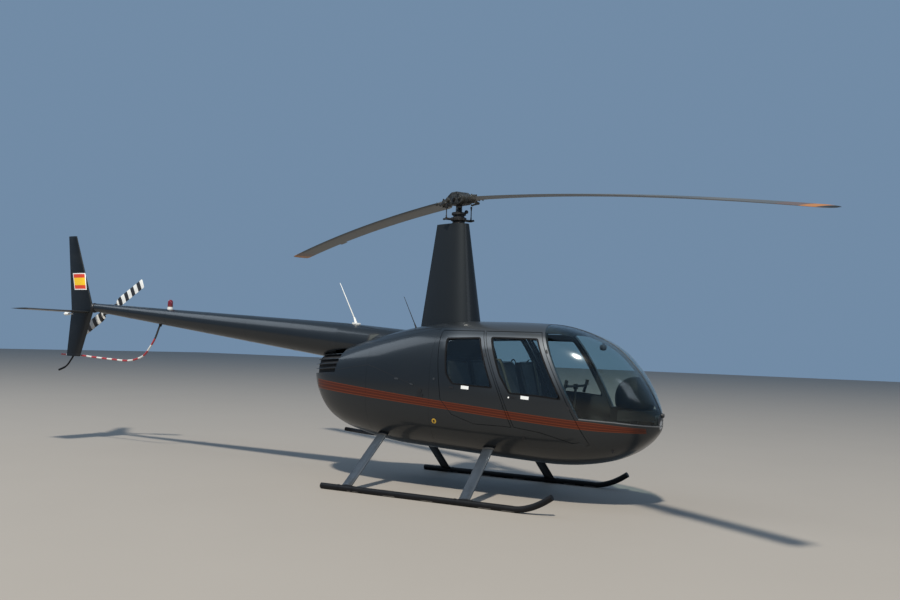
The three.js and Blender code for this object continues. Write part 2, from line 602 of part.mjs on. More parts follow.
function addTail() {
  const shell = cone(CONE.joint - GAP, CONE.end, 0).subtract(
    loft([CONE.joint + 10, CONE.end + 30].map((x) => coneRing(x, CONE.wall))),
  );
  piece(airframe, "tail_cone", shell, "body");
  const { x, y, z } = TAIL_HUB;
  const gearbox = joined(
    bar([CONE.end - GAP, 0, z + 5], [CONE.end - 64, 0, z + 5], 61, 70),
    bar([x, 0, z], [x, 150, z], 31, 28),
  );
  piece(airframe, "tail_gearbox", gearbox, "dark");
  const back = CONE.end - 64 - GAP;
  const upper = wing(
    [
      [[back, 0, 1915 + GAP], [-6386, 0, 1915 + GAP], 62],
      [[-6358, 0, 2985], [-6527, 0, 2985], 26],
    ],
    [0, 1, 0],
  );
  const lower = (grow) =>
    wing(
      [
        [[back, 0, 1915], [-6386, 0, 1915], 62 + grow],
        [[-6155, 0, 1240], [-6440, 0, 1240], 34 + grow],
      ],
      [0, 1, 0],
    );
  const tailplane = { z: 1880, thick: 34 };
  piece(airframe, "fin_upper", upper, "body");
  piece(airframe, "fin_lower", lower(0), "body");
  const stabiliser = wing(
    [
      [[-5990, -10, tailplane.z], [-6430, -10, tailplane.z], tailplane.thick],
      [[-6010, -985, tailplane.z], [-6400, -985, tailplane.z], tailplane.thick - 8],
    ],
    [0, 0, 1],
  );
  piece(airframe, "stabiliser", stabiliser.subtract(lower(2 * GAP)), "body");
  const bend = [[-6300, 0, 1238], [-6330, 0, 1200], [-6440, 0, 1090], [-6590, 0, 1030]];
  const skid = tube(bend, 12, 14, 8).intersect(block([-7000, -50, 0], [0, 50, 1240 - GAP]));
  piece(airframe, "tail_skid", skid, "dark");
  const lamp = joined(
    block([-6440, -7, 1838], [-6300, 7, 1862]),
    bar([-6432, 0, 1850], [-6500, 0, 1850], 20, 20, 12),
    bar([-6495, 0, 1850], [-6540, 0, 1850], 26, 20, 12),
  );
  piece(airframe, "tail_lamp", lamp.subtract(lower(2 * GAP)), "white");
  const guard = tube(
    [
      [-4560, 0, 1765],
      [-4599, 2, 1704],
      [-4682, 6, 1531],
      [-4769, 10, 1417],
      [-4880, 15, 1302],
      [-5021, 22, 1245],
      [-5215, 30, 1213],
      [-5515, 40, 1219],
      [-5900, 48, 1236],
      [-6191, 48, 1253],
      [-6610, 48, 1260],
    ],
    13,
    32,
    8,
  ).subtract(cone(CONE.joint, CONE.end, -GAP));
  piece(airframe, "rotor_guard", guard, "red");
  const top = (at) => CONE.top[0] + CONE.top[1] * (CONE.joint - at);
  const dome = new THREE.SphereGeometry(37, 12, 6).translate(-4418, 0, top(-4418) + 92);
  const beacon = bar([-4418, 0, top(-4418) - 10], [-4418, 0, top(-4418) + 92], 37)
    .add(solid(dome))
    .subtract(cone(CONE.joint, CONE.end, -GAP));
  piece(airframe, "beacon", beacon, "red");
  const whip = joined(
    bar([-1345, 0, 1760], [-1375, 0, 1850], 26, 12, 10),
    bar([-1372, 0, 1840], [-1611, 0, 2280], 9, 4, 8),
  );
  const under = hull(-GAP).add(cone(FAIRING.front, CONE.joint, -GAP));
  piece(airframe, "antenna_rear", whip.subtract(under), "white");
  const rod = joined(
    bar([-490, 0, 1690], [-515, 0, 1770], 22, 10, 10),
    bar([-512, 0, 1760], [-690, 0, 2115], 6, 3, 8),
  );
  piece(airframe, "antenna_front", rod.subtract(under), "dark");
}

function addTailRotor() {
  const { x, y, z } = TAIL_HUB;
  const turned = new THREE.Group();
  turned.position.set(x, y, z);
  turned.rotation.y = -THREE.MathUtils.degToRad(TAIL_BLADE.turn);
  airframe.add(turned);
  const hub = joined(
    bar([0, 150 + SWING - y, 0], [0, 30, 0], 18, 18, 12),
    block([-80, -18, -38], [80, 18, 38]),
    bar([-90 + GAP, 0, 0], [90 - GAP, 0, 0], 24, 24, 12),
  );
  piece(turned, "tail_rotor_hub", hub, "metal");
  [1, -1].forEach((side, i) => {
    const half = TAIL_BLADE.chord / 2;
    const at = (r) => side * r;
    const skin = wing(
      [[150, half * 0.8], [220, half], [720, half], [TAIL_BLADE.tip, half * 0.8]].map(([r, h]) => [
        [at(r), 8, h * side],
        [at(r), -8, -h * side],
        TAIL_BLADE.thick,
      ]),
      [0, 1, 0],
      12,
    );
    const root = bar([at(TAIL_BLADE.root), 0, 0], [at(230), 0, 0], 20, 8, 10);
    piece(turned, `tail_rotor_blade_${i + 1}`, skin.add(root), "white");
  });
}

function addLandingGear() {
  const legs = { front: [760, 718, 585], rear: [-645, -627, 583] }; // foot x, top x, top z
  for (const [name, side] of SIDES) {
    const y = side * SKID.y;
    const z = SKID.radius;
    const straight = bar([SKID.rear, y, z], [SKID.front, y, z], SKID.radius);
    const bend = SKID.toe - SKID.front;
    const toe = tube(
      [
        [SKID.front - 60, y, z],
        [SKID.front, y, z],
        [SKID.front + 0.35 * bend, y, z + 0.18 * SKID.rise],
        [SKID.front + 0.7 * bend, y, z + 0.55 * SKID.rise],
        [SKID.toe, y, z + SKID.rise],
      ],
      SKID.radius,
      10,
    ).intersect(block([0, -2000, 0], [3000, 2000, 1000]));
    piece(airframe, `skid_${name}`, straight.add(toe), "dark");
    for (const [place, [footX, topX, topZ]] of Object.entries(legs)) {
      const rows = [
        [footX, side * (SKID.y + 2), z + 5],
        [topX, side * 400, topZ],
      ].map(([x, at, height]) => [[x + 55, at, height], [x - 70, at, height], 40]);
      const skid = bar([-2000, y, z], [2000, y, z], SKID.radius + GAP);
      const leg = wing(rows, [0, 1, 0]).subtract(skid).subtract(hull(-GAP));
      piece(airframe, `leg_${place}_${name}`, leg, "metal");
    }
  }
}

addCabin();
addSeats();
addControls();
addCowls();
addMastFairing();
addRotor();
addTail();
addTailRotor();
addLandingGear();

export default aircraft;
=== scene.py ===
"""A parked light helicopter, dressed for pictures. Metres; lengths along X are counted from the rotor
mast while a piece is shaped, and each finished piece is moved by MAST into the aircraft's own frame."""

import math

import bpy
import numpy as np
from mathutils import Matrix, Vector


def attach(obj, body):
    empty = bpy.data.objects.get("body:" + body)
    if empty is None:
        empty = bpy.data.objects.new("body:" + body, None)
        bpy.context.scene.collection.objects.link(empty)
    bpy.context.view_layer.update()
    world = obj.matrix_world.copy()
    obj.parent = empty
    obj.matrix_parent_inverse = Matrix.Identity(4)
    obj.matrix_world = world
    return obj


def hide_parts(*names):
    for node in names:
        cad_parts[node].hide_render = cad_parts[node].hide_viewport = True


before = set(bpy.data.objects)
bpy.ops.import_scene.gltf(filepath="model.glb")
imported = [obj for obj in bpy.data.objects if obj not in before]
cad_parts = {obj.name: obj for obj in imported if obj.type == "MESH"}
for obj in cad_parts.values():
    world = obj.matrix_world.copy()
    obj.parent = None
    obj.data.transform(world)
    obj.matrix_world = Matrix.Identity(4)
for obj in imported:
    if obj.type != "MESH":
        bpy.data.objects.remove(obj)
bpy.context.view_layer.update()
bpy.ops.object.select_all(action="DESELECT")

MAST = 1.123
GAP = 0.0015  # shown between fixed panels
SWING = 0.006  # round a door
WALL = 0.04
COWL = 0.025
SIDES = (("right", -1), ("left", 1))
BESIDE = 0.9  # clear of the fuselage on either side
FIT = 0.0004  # between a piece and what it sits on or in

# Camera

LENS = 947.4  # focal length in pixels of a picture 900 wide


def add_camera():
    yaw, pitch, roll = (math.radians(a) for a in (119.37, 2.94, 1.95))
    look = Vector((math.cos(yaw) * math.cos(pitch), math.sin(yaw) * math.cos(pitch), math.sin(pitch)))
    right = look.cross(Vector((0, 0, 1))).normalized()
    up = right.cross(look)
    c, s = math.cos(roll), math.sin(roll)
    right, up = right * c + up * s, up * c - right * s
    data = bpy.data.cameras.new("camera")
    data.sensor_width = 36
    data.lens = 36 * LENS / 900
    data.clip_end = 200
    camera = bpy.data.objects.new("camera", data)
    turn = Matrix((right, up, -look)).transposed().to_4x4()
    camera.matrix_world = Matrix.Translation((5.168 + MAST, -9.320, 1.531)) @ turn
    bpy.context.scene.collection.objects.link(camera)
    bpy.context.scene.camera = camera


# Shaping


def deselect():
    bpy.ops.object.select_all(action="DESELECT")


def choose(*pieces):
    deselect()
    for piece in pieces:
        piece.select_set(True)
    bpy.context.view_layer.objects.active = pieces[0]


def on_all(tool, **settings):
    """Runs an edit mode operator on a whole mesh."""
    bpy.ops.mesh.select_all(action="SELECT")
    getattr(bpy.ops.mesh, tool)(**settings)


def primitive(kind, name, **settings):
    deselect()
    getattr(bpy.ops.mesh, f"primitive_{kind}_add")(**settings)
    piece = bpy.context.object
    piece.name = name
    return piece


class Editing:
    """Edit mode on a piece, with nothing selected at the start."""

    def __init__(self, piece, mode="VERT"):
        self.piece, self.mode = piece, mode

    def __enter__(self):
        choose(self.piece)
        bpy.ops.object.mode_set(mode="EDIT")
        bpy.ops.mesh.select_mode(type=self.mode)
        bpy.ops.mesh.select_all(action="DESELECT")
        return self

    def __exit__(self, *_):
        bpy.ops.object.mode_set(mode="OBJECT")

    def pick(self, test):
        """Selects what passes a test of a vertex, an edge's two ends, or a face's middle and normal."""
        bpy.ops.mesh.select_all(action="DESELECT")
        bpy.ops.object.mode_set(mode="OBJECT")
        mesh = self.piece.data
        if self.mode == "VERT":
            for v in mesh.vertices:
                v.select = bool(test(v.co))
        elif self.mode == "EDGE":
            for e in mesh.edges:
                a, b = (mesh.vertices[i].co for i in e.vertices)
                e.select = bool(test(a, b))
        else:
            for f in mesh.polygons:
                f.select = bool(test(f.center, f.normal))
        bpy.ops.object.mode_set(mode="EDIT")

    def bevel(self, offset, segments):
        bpy.ops.mesh.bevel(offset=offset, segments=segments, affect="EDGES")


def points_of(piece):
    flat = np.empty(len(piece.data.vertices) * 3)
    piece.data.vertices.foreach_get("co", flat)
    return flat.reshape(-1, 3)


def move_points(piece, points):
    piece.data.vertices.foreach_set("co", np.ascontiguousarray(points, np.float32).ravel())
    piece.data.update()


def put(piece, place):
    """Moves a piece's mesh by a matrix, or by a distance along the axes."""
    piece.data.transform(place if isinstance(place, Matrix) else Matrix.Translation(place))
    return piece


def sealed(piece):
    """Merges the points that fall together, closes holes and turns the faces outwards."""
    with Editing(piece):
        on_all("remove_doubles", threshold=1e-6)
        on_all("fill_holes", sides=0)
        on_all("normals_make_consistent", inside=False)
    return piece


def rolled(name, around, along, place):
    """A sheet rolled into a closed skin: place makes points of shares from 0 to 1, round and along."""
    piece = primitive("grid", name, x_subdivisions=around, y_subdivisions=along, size=1)
    at = points_of(piece) + 0.5
    round_share = np.round(at[:, 0] * around) / around % 1.0
    move_points(piece, place(round_share, np.round(at[:, 1] * along) / along))
    return sealed(piece)


def turned(name, profile, base=(0, 0, 0), axis=(0, 0, 1), steps=48):
    """A profile of radius and height turned about an axis that stands on a base point."""
    up = Vector(axis).normalized()
    side = up.orthogonal().normalized()
    front = up.cross(side)
    table = np.array(profile, float)

    def place(share, length):
        row = np.round(length * (len(table) - 1)).astype(int)
        radius, height = table[row, 0], table[row, 1]
        turn = 2 * np.pi * share
        across, ahead = radius * np.cos(turn), radius * np.sin(turn)
        return np.array(base) + np.outer(height, up) + np.outer(across, side) + np.outer(ahead, front)

    return rolled(name, steps, len(table) - 1, place)


def rod(name, start, end, radius, end_radius=None, sides=24, edge=0.0):
    """A round bar between two points, its rims eased by edge."""
    a, b = Vector(start), Vector(end)
    piece = primitive("cone", name, vertices=sides, radius1=radius, depth=(b - a).length,
        radius2=radius if end_radius is None else end_radius)
    if edge:
        with Editing(piece, "FACE") as work:
            work.pick(lambda middle, normal: abs(normal.z) > 0.99)
            work.bevel(edge, 2)
    turn = Vector((0, 0, 1)).rotation_difference(b - a).to_matrix().to_4x4()
    return put(piece, Matrix.Translation((a + b) / 2) @ turn)


def rods(*rows):
    """Round bars, a row each: name, start, end, radius, sides and eased rim."""
    return [rod(*row[:4], sides=row[4], edge=row[5]) for row in rows]


def ball(name, middle, reach, segments):
    piece = primitive("uv_sphere", name, radius=1, segments=segments, ring_count=segments // 2)
    return put(piece, Matrix.Translation(middle) @ Matrix.Diagonal((*reach, 1)))


def block(name, low, high, edge=0.0, segments=2):
    """A box between two corners, its edges rounded by edge."""
    middle = [(a + b) / 2 for a, b in zip(low, high)]
    piece = primitive("cube", name, size=1)
    put(piece, Matrix.Translation(middle) @ Matrix.Diagonal([b - a for a, b in zip(low, high)] + [1]))
    if edge:
        with Editing(piece):
            on_all("bevel", offset=edge, segments=segments, affect="EDGES")
    return piece


def prism(name, outline, low=-BESIDE, high=BESIDE):
    """An outline of x and z in the side view, pulled out along Y."""
    piece = primitive("circle", name, vertices=len(outline), fill_type="NGON")
    move_points(piece, [(x, low, z) for x, z in outline])
    with Editing(piece, "FACE"):
        on_all("extrude_region_move", TRANSFORM_OT_translate={"value": (0, high - low, 0)})
        on_all("normals_make_consistent", inside=False)
    return piece


def tube(name, route, radius, sides=12, steps=6, closed=False):
    """A round tube along a smooth curve through points."""
    curve = bpy.data.curves.new(name, "CURVE")
    curve.dimensions = "3D"
    curve.bevel_depth = radius
    curve.bevel_resolution = sides // 4
    curve.resolution_u = steps
    curve.use_fill_caps = not closed
    line = curve.splines.new("BEZIER")
    line.bezier_points.add(len(route) - 1)
    for point, place in zip(line.bezier_points, route):
        point.co = place
        point.handle_left_type = point.handle_right_type = "AUTO"
    line.use_cyclic_u = closed
    piece = bpy.data.objects.new(name, curve)
    bpy.context.scene.collection.objects.link(piece)
    choose(piece)
    bpy.ops.object.convert(target="MESH")
    return sealed(bpy.context.object)


def twin(piece, name="copy"):
    other = piece.copy()
    other.data = piece.data.copy()
    other.name = name
    bpy.context.scene.collection.objects.link(other)
    return other


def drop(*pieces):
    for piece in pieces:
        bpy.data.objects.remove(piece)


def modify(piece, kind, **settings):
    tool = piece.modifiers.new(kind, kind)
    for name, value in settings.items():
        setattr(tool, name, value)
    choose(piece)
    bpy.ops.object.modifier_apply(modifier=tool.name)
    return piece


def cut(piece, *tools, keep=False, operation="DIFFERENCE"):
    """Cuts tools out of a piece, which are dropped unless kept."""
    for tool in tools:
        modify(piece, "BOOLEAN", operation=operation, object=tool, solver="MANIFOLD")
        if not keep:
            drop(tool)
    return piece


def common(piece, *tools):
    return cut(piece, *tools, operation="INTERSECT")


def union(piece, *tools):
    return cut(piece, *tools, operation="UNION")


def joined(name, *pieces):
    """Several meshes as one object, not fused."""
    choose(*pieces)
    bpy.ops.object.join()
    bpy.context.object.name = name
    return bpy.context.object


def mirrored(piece, name):
    """A copy on the other side of the aircraft."""
    other = put(twin(piece, name), Matrix.Diagonal((1, -1, 1, 1)))
    with Editing(other):
        on_all("flip_normals")
    return other


def dress(piece, tone, *nodes, body="airframe", slot=None, angle=35):
    """Finishes a piece: its place, shading and finish, and the body and CAD nodes that it goes with."""
    choose(put(piece, (MAST, 0, 0)))
    bpy.ops.object.shade_smooth_by_angle(angle=math.radians(angle))
    piece.data.materials.clear()
    piece.data.materials.append(FINISH[tone])
    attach(piece, body)
    if nodes:
        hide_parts(*nodes)
    deselect()
    return piece


# Outlines in the side view


def mm(text):
    """Points from a text of millimetres."""
    return [tuple(float(number) / 1000 for number in point.split()) for point in text.split(",")]


def rounded(outline, radius, steps=6):
    """An outline with its corners rounded."""
    out = []
    for i, corner in enumerate(outline):
        at = np.array(corner)
        ends = []
        for near in (outline[i - 1], outline[(i + 1) % len(outline)]):
            way = np.array(near) - at
            ends.append(at + way * min(radius / np.linalg.norm(way), 0.45))
        for t in np.linspace(0, 1, steps + 1):
            out.append(tuple((1 - t) ** 2 * ends[0] + 2 * t * (1 - t) * at + t * t * ends[1]))
    return out


def grown(outline, distance):
    """An outline moved outwards, or inwards with a negative distance."""
    points = [np.array(p, float) for p in outline]
    pairs = list(zip(points, points[1:] + points[:1]))
    area = sum(a[0] * b[1] - b[0] * a[1] for a, b in pairs)
    edges = []
    for a, b in pairs:
        way = (b - a) / np.linalg.norm(b - a)
        out = np.array((way[1], -way[0])) * (distance if area > 0 else -distance)
        edges.append((a + out, way))
    moved = []
    for i, (at, way) in enumerate(edges):
        before, last = edges[i - 1]
        turn = last[0] * way[1] - last[1] * way[0]
        if abs(turn) < 1e-4:
            moved.append(tuple(at))
            continue
        gap = at - before
        t = (gap[0] * way[1] - gap[1] * way[0]) / turn
        moved.append(tuple(before + last * t))
    return moved


# Fuselage

# Sections: x, bottom, top, half width, height of the widest line.
HULL = np.array(mm("2396 862 878 4 870, 2390 800 950 50 870, 2345 727 1052 160 900, "
    "2260 637 1212 283 925, 2128 542 1399 398 940, 1927 453 1595 507 950, 1657 395 1729 598 970, "
    "1357 371 1812 632 990, 1004 381 1836 643 1000, 601 397 1841 641 1000, 200 416 1837 641 1020, "
    "-200 435 1798 630 1040, -600 460 1719 600 1060, -997 526 1612 543 1100, -1301 606 1518 475 1140, "
    "-1523 720 1466 391 1180, -1679 900 1430 290 1200, -1786 1068 1366 165 1220, "
    "-1814 1180 1268 60 1225, -1818 1220 1230 4 1225"))
CORE, REACH = np.array((0.27, 0, 1.12)), np.array((2.12, 0.643, 0.735))
TOP_POWER, BOTTOM_POWER = 2.9, 2.6


def smooth_rows(table, t):
    """Rows of a table at places t from 0 to 1, on a smooth curve through them."""
    last = len(table) - 1
    at = np.clip(t, 0, 1) * last
    i = np.clip(np.floor(at).astype(int), 0, last - 1)
    u = (at - i)[:, None]
    p0, p1, p2, p3 = (table[np.clip(i + k, 0, last)] for k in (-1, 0, 1, 2))
    curved, twisted = 2 * p0 - 5 * p1 + 4 * p2 - p3, 3 * p1 - p0 - 3 * p2 + p3
    return 0.5 * (2 * p1 + (p2 - p0) * u + curved * u**2 + twisted * u**3)


FINE = smooth_rows(HULL, np.linspace(0, 1, 400))


def half_width(x, z):
    """Half the fuselage's width at a place in the side view."""
    bottom, top, half, widest = (np.interp(-x, -FINE[:, 0], FINE[:, k]) for k in (1, 2, 3, 4))
    share = (z - widest) / (top - widest) if z > widest else (widest - z) / (widest - bottom)
    power = TOP_POWER if z > widest else BOTTOM_POWER
    return half * (1 - min(1.0, share) ** power) ** (1 / power)


def hull(name="hull", depth=0.0, around=112, along=120):
    """The fuselage's outer shape, its skin moved in by a depth."""

    def place(share, length):
        x, bottom, top, half, widest = smooth_rows(HULL, length).T
        turn = 2 * np.pi * (share + 0.5 / around)
        c, s = np.cos(turn), np.sin(turn)
        power = 2 / np.where(s > 0, TOP_POWER, BOTTOM_POWER)
        y = np.sign(c) * np.abs(c) ** power * half
        z = widest + np.abs(s) ** power * (np.where(s > 0, top, bottom) - widest)
        points = np.stack([x, y, z], 1)
        return CORE + (points - CORE) * (1 - depth / REACH)

    return rolled(name, around, along, place)


CONE_JOINT, CONE_END = -1.5, -5.86
CONE_TOP, CONE_BOTTOM = (1.797, 0.0475), (1.354, 0.122)  # height at the joint, rise aft
FAIRING_LINES = ((1.797, 0.0768), (1.354, 0.06))
FAIRING_FRONT = -0.47


def cone(name, start, end, inset, lines=(CONE_TOP, CONE_BOTTOM), around=96, along=1):
    """A stretch of the tail cone, or of the fairing ahead of it."""

    def place(share, length):
        x = start + (end - start) * length
        top, bottom = (z + rise * (CONE_JOINT - x) for z, rise in lines)
        radius = (top - bottom) / 2 - inset
        turn = 2 * np.pi * share
        return np.stack([x, np.cos(turn) * radius, (top + bottom) / 2 + np.sin(turn) * radius], 1)

    return rolled(name, around, along, place)


# Doors

FRONT_LEAN, REAR_LEAN = (math.tan(math.radians(a)) for a in (27.5, 24))  # of the door posts
HINGE_Y = 0.655
SILL = 0.57
BULKHEAD = 0.06


def leaning(x, z, lean):
    return x - lean * (z - 1.3)


# hinge is the x of the hinge line at the height 1.3, and edge is the door's rear and lower edge.
DOORS = {
    "front": dict(hinge=1.474, lean=FRONT_LEAN, top=1.725, bottom=0.640,
        edge=[(leaning(0.820, z, REAR_LEAN), z) for z in (1.725, 0.766)] + mm("1130 756, 1340 730, "
            "1590 665, 1660 643, 1730 655"),
        window=mm("712 1668, 1238 1664, 1560 1062, 1290 1085, 1000 1096, 880 1275")),
    "rear": dict(hinge=0.790, lean=REAR_LEAN, top=1.725, bottom=0.765,
        edge=mm("110 1700, 205 1000, 340 850, 600 768"),
        window=mm("193 1646, 592 1662, 812 1142, 560 1152, 335 1163, 255 1265")),
}


def door_room(door, side, grow, front):
    """The room that a door sweeps round its hinge line, which starts behind the front edge."""
    low = Vector((leaning(door["hinge"], 0, door["lean"]), side * HINGE_Y, 0))
    up = Vector((-door["lean"], 0, 1)).normalized()
    back = Vector((-up.z, 0, up.x))
    outline = door["edge"] + [(leaning(door["hinge"], door["bottom"], door["lean"]), door["bottom"])]
    route = []
    for (x, z), (next_x, next_z) in zip(outline, outline[1:]):
        parts = math.ceil(math.hypot(next_x - x, next_z - z) / 0.05)
        route += [(x + (next_x - x) * k / parts, z + (next_z - z) * k / parts) for k in range(parts)]
    swept = []
    for x, z in route + [outline[-1]]:
        place = Vector((x - low.x, 0, z))
        swept.append((math.hypot(place.dot(back), HINGE_Y - half_width(x, z)), place.dot(up)))
    above = swept[0][1] + 1
    profile = grown([(0, above), (swept[0][0], above), *swept, (0, swept[-1][1])], grow)
    room = turned("room", [(max(0, r), h) for r, h in profile], low, up, steps=160)
    behind = primitive("cube", "behind", size=1)
    place = Matrix((back, up, back.cross(up))).transposed().to_4x4()
    place.translation = low
    put(behind, place @ Matrix.Translation((1.5 + front, 0, 0)) @ Matrix.Diagonal((3, 6, 3, 1)))
    low_y, high_y = sorted((0, side * BESIDE))
    half = block("half", (-3, low_y, 0), (3, high_y, door["top"] + grow))
    return common(room, behind, half)


# Materials


class Wire:
    """A socket of one value. Sums, products and the like add Math nodes."""

    def __init__(self, paint, socket):
        self.paint, self.socket = paint, socket

    def within(self, low, high):
        """1 between two values, 0 elsewhere."""
        return (self > low) * (self < high)

    def ease(self, low, high):
        """0 below low, 1 above high, smooth between."""
        settings = dict(interpolation_type="SMOOTHSTEP")
        return self.paint.add("ShaderNodeMapRange", settings, self, low, high, 0.0, 1.0)


def wire_maths(operation, swapped=False):
    def act(self, *others):
        values = (*others, self) if swapped else (self, *others)
        return self.paint.add("ShaderNodeMath", dict(operation=operation), *values)

    return act


for method, operation in dict(__add__="ADD", __sub__="SUBTRACT", __mul__="MULTIPLY",
        __truediv__="DIVIDE", __pow__="POWER", __lt__="LESS_THAN", __gt__="GREATER_THAN",
        __abs__="ABSOLUTE", sine="SINE", remainder="FLOORED_MODULO", most="MAXIMUM").items():
    setattr(Wire, method, wire_maths(operation))
for method, operation in dict(__radd__="ADD", __rsub__="SUBTRACT", __rmul__="MULTIPLY").items():
    setattr(Wire, method, wire_maths(operation, swapped=True))


class Paint:
    """A material that is built from its shader's own sockets."""

    def __init__(self, name, **constants):
        self.material = bpy.data.materials.new(name)
        self.material.use_nodes = True
        self.tree = self.material.node_tree
        self.shader = self.tree.nodes["Principled BSDF"]
        for key, value in constants.items():
            self.set(key.replace("_", " "), value)

    def feed(self, socket, value):
        if isinstance(value, Wire):
            self.tree.links.new(value.socket, socket)
        elif socket.type == "RGBA":
            socket.default_value = (*value[:3], 1)
        else:
            socket.default_value = value

    def add(self, kind, settings, *values, out=0, **named):
        node = self.tree.nodes.new(kind)
        for name, value in settings.items():
            setattr(node, name, value)
        for key, value in [*enumerate(values), *named.items()]:
            self.feed(node.inputs[key], value)
        return Wire(self, node.outputs[out])

    def set(self, name, value):
        self.feed(self.shader.inputs[name], value)

    def point(self):
        return self.add("ShaderNodeTexCoord", {}, out="Object")

    def place(self):
        """The point's X from the rotor mast, Y and Z, and the point itself."""
        point = self.point()
        split = self.add("ShaderNodeSeparateXYZ", {}, point).socket.node
        x, y, z = (Wire(self, split.outputs[k]) for k in range(3))
        return x - MAST, y, z, point

    def noise(self, point, scale, detail=3.0, roughness=0.5):
        named = dict(Vector=point, Scale=scale, Detail=detail, Roughness=roughness)
        return self.add("ShaderNodeTexNoise", {}, **named)

    def mix(self, share, first, second):
        """The second colour over the first by a share."""
        node = self.add("ShaderNodeMix", dict(data_type="RGBA")).socket.node
        for key, value in (("Factor", share), ("A", first), ("B", second)):
            kind = "VALUE" if key == "Factor" else "RGBA"
            live = [s for s in node.inputs if s.name == key and s.type == kind and s.enabled]
            self.feed(live[0], value)
        return Wire(self, next(s for s in node.outputs if s.type == "RGBA" and s.enabled))

    def done(self, colour, rough, height, strength):
        """The material, once what changes over its surface is wired up."""
        self.set("Base Color", colour)
        self.set("Roughness", rough)
        named = dict(Strength=strength, Distance=1.0, Height=height)
        self.set("Normal", self.add("ShaderNodeBump", {}, **named))
        return self.material


STRIPE = np.array(mm("-1607 1072, -870 1034, -304 978, 326 921, 909 886, 1444 850, 1920 817, 2249 792, "
    "2301 778"))
STRIPE_LINE = np.polyfit(STRIPE[:, 0], STRIPE[:, 1], 3)

CHARCOAL = (0.021, 0.025, 0.029)
# Grey of a painted sky reflection on the charcoal paint.
SKY_SHEEN_GREY = (0.150, 0.160, 0.170)
RUST, RUST_LINE = (0.058, 0.0075, 0.001), (0.125, 0.024, 0.004)


def metallic_paint(name, stripe=False, colour=CHARCOAL, rivets=None, silver=None, coat=0.6, matt=0.0):
    """Two-layer metallic paint: flake, a clear coat, light dust low down, and the stripe where asked.
    silver gives the two heights between which a painted sky reflection lightens the paint to grey."""
    paint = Paint(name, Coat_Weight=coat, Coat_Roughness=0.14, Specular_IOR_Level=0.35)
    x, y, z, point = paint.place()
    flake = paint.noise(point, 900.0, 1.0)
    cloud = paint.noise(point, 2.2, 3.0)
    base = paint.mix(flake * 0.5, tuple(c * 0.8 for c in colour), tuple(c * 1.4 for c in colour))
    # Painted reflection: the upper door frames and the posts are lightened to grey where they lean up
    # to the sky, and less again at the roof.
    if silver:
        sky_sheen = (z.ease(*silver) * x.ease(0.3, 1.35)).most(z.ease(1.50, 1.58) * x.ease(0.10, 0.35))
        sky_sheen = sky_sheen * (1 - 0.6 * z.ease(1.655, 1.70))
        base = paint.mix(sky_sheen * (0.8 + 0.4 * flake), base, SKY_SHEEN_GREY)
    dust = (1 - z.ease(0.35, 1.0)) * cloud.ease(0.35, 0.75)
    base = paint.mix(dust * 0.22, base, (0.060, 0.058, 0.054))
    rough = 0.38 + matt + 0.12 * cloud + 0.12 * dust
    metal = 0.75
    if stripe:
        a, b, c, d = (float(k) for k in STRIPE_LINE)
        middle = ((a * x + b) * x + c) * x + d
        half = 0.052 - 0.012 * x.ease(-1.7, 0.3) - 0.014 * x.ease(1.8, 2.3)
        off = (z - middle) / half
        ends = x.within(-1.64, 2.30)
        band = (abs(off) < 1.0) * ends
        edge = (abs(off) > 0.84).most(off.within(-0.42, -0.26)).most(off.within(0.30, 0.42))
        base = paint.mix(band, base, RUST)
        base = paint.mix(band * edge, base, RUST_LINE)
        metal = 0.75 - 0.65 * band
        paint.set("Coat Weight", coat * (1 - 0.9 * band))
    paint.set("Metallic", metal)
    height = paint.noise(point, 3.0, 2.0) * 0.002
    if rivets:
        height = height + rivets(paint, x, y, z)
    return paint.done(base, rough, height, 0.35)


def clear_glass(name, tint=(0.82, 0.87, 0.86), share=0.022, rough=0.07):
    """A thin pane: a faint tint over what is behind it, and a sheen that grows at a slant."""
    paint = Paint(name, Base_Color=(0.90, 0.94, 1.0), Metallic=1.0, Roughness=rough)
    point = paint.point()
    see = paint.add("ShaderNodeBsdfTransparent", {}, tint)
    slant = paint.add("ShaderNodeLayerWeight", {}, Blend=0.5, out="Facing")
    factor = share + 0.75 * slant**4.5 + 0.02 * paint.noise(point, 6.0, 4.0)
    sheen = Wire(paint, paint.shader.outputs[0])
    mixed = paint.add("ShaderNodeMixShader", {}, factor, see, sheen)
    paint.feed(paint.tree.nodes["Material Output"].inputs[0], mixed)
    return paint.material


def grained(name, colour, rough, grain, metal, wear, depth=0.0006, coat=0.0, specular=0.5):
    """Moulded plastic, painted or cast metal: fine grain, patches that are worn or dusty."""
    paint = Paint(name, Metallic=metal, Coat_Weight=coat, Specular_IOR_Level=specular)
    point = paint.point()
    fine, broad = paint.noise(point, grain, 3.0), paint.noise(point, 9.0, 4.0)
    light = tuple(min(1.0, c * 1.5 + 0.03) for c in colour)
    return paint.done(paint.mix(broad.ease(0.45, 0.8) * wear, colour, light),
        rough + 0.15 * (broad - 0.5), fine * depth, 0.6)


# The studio


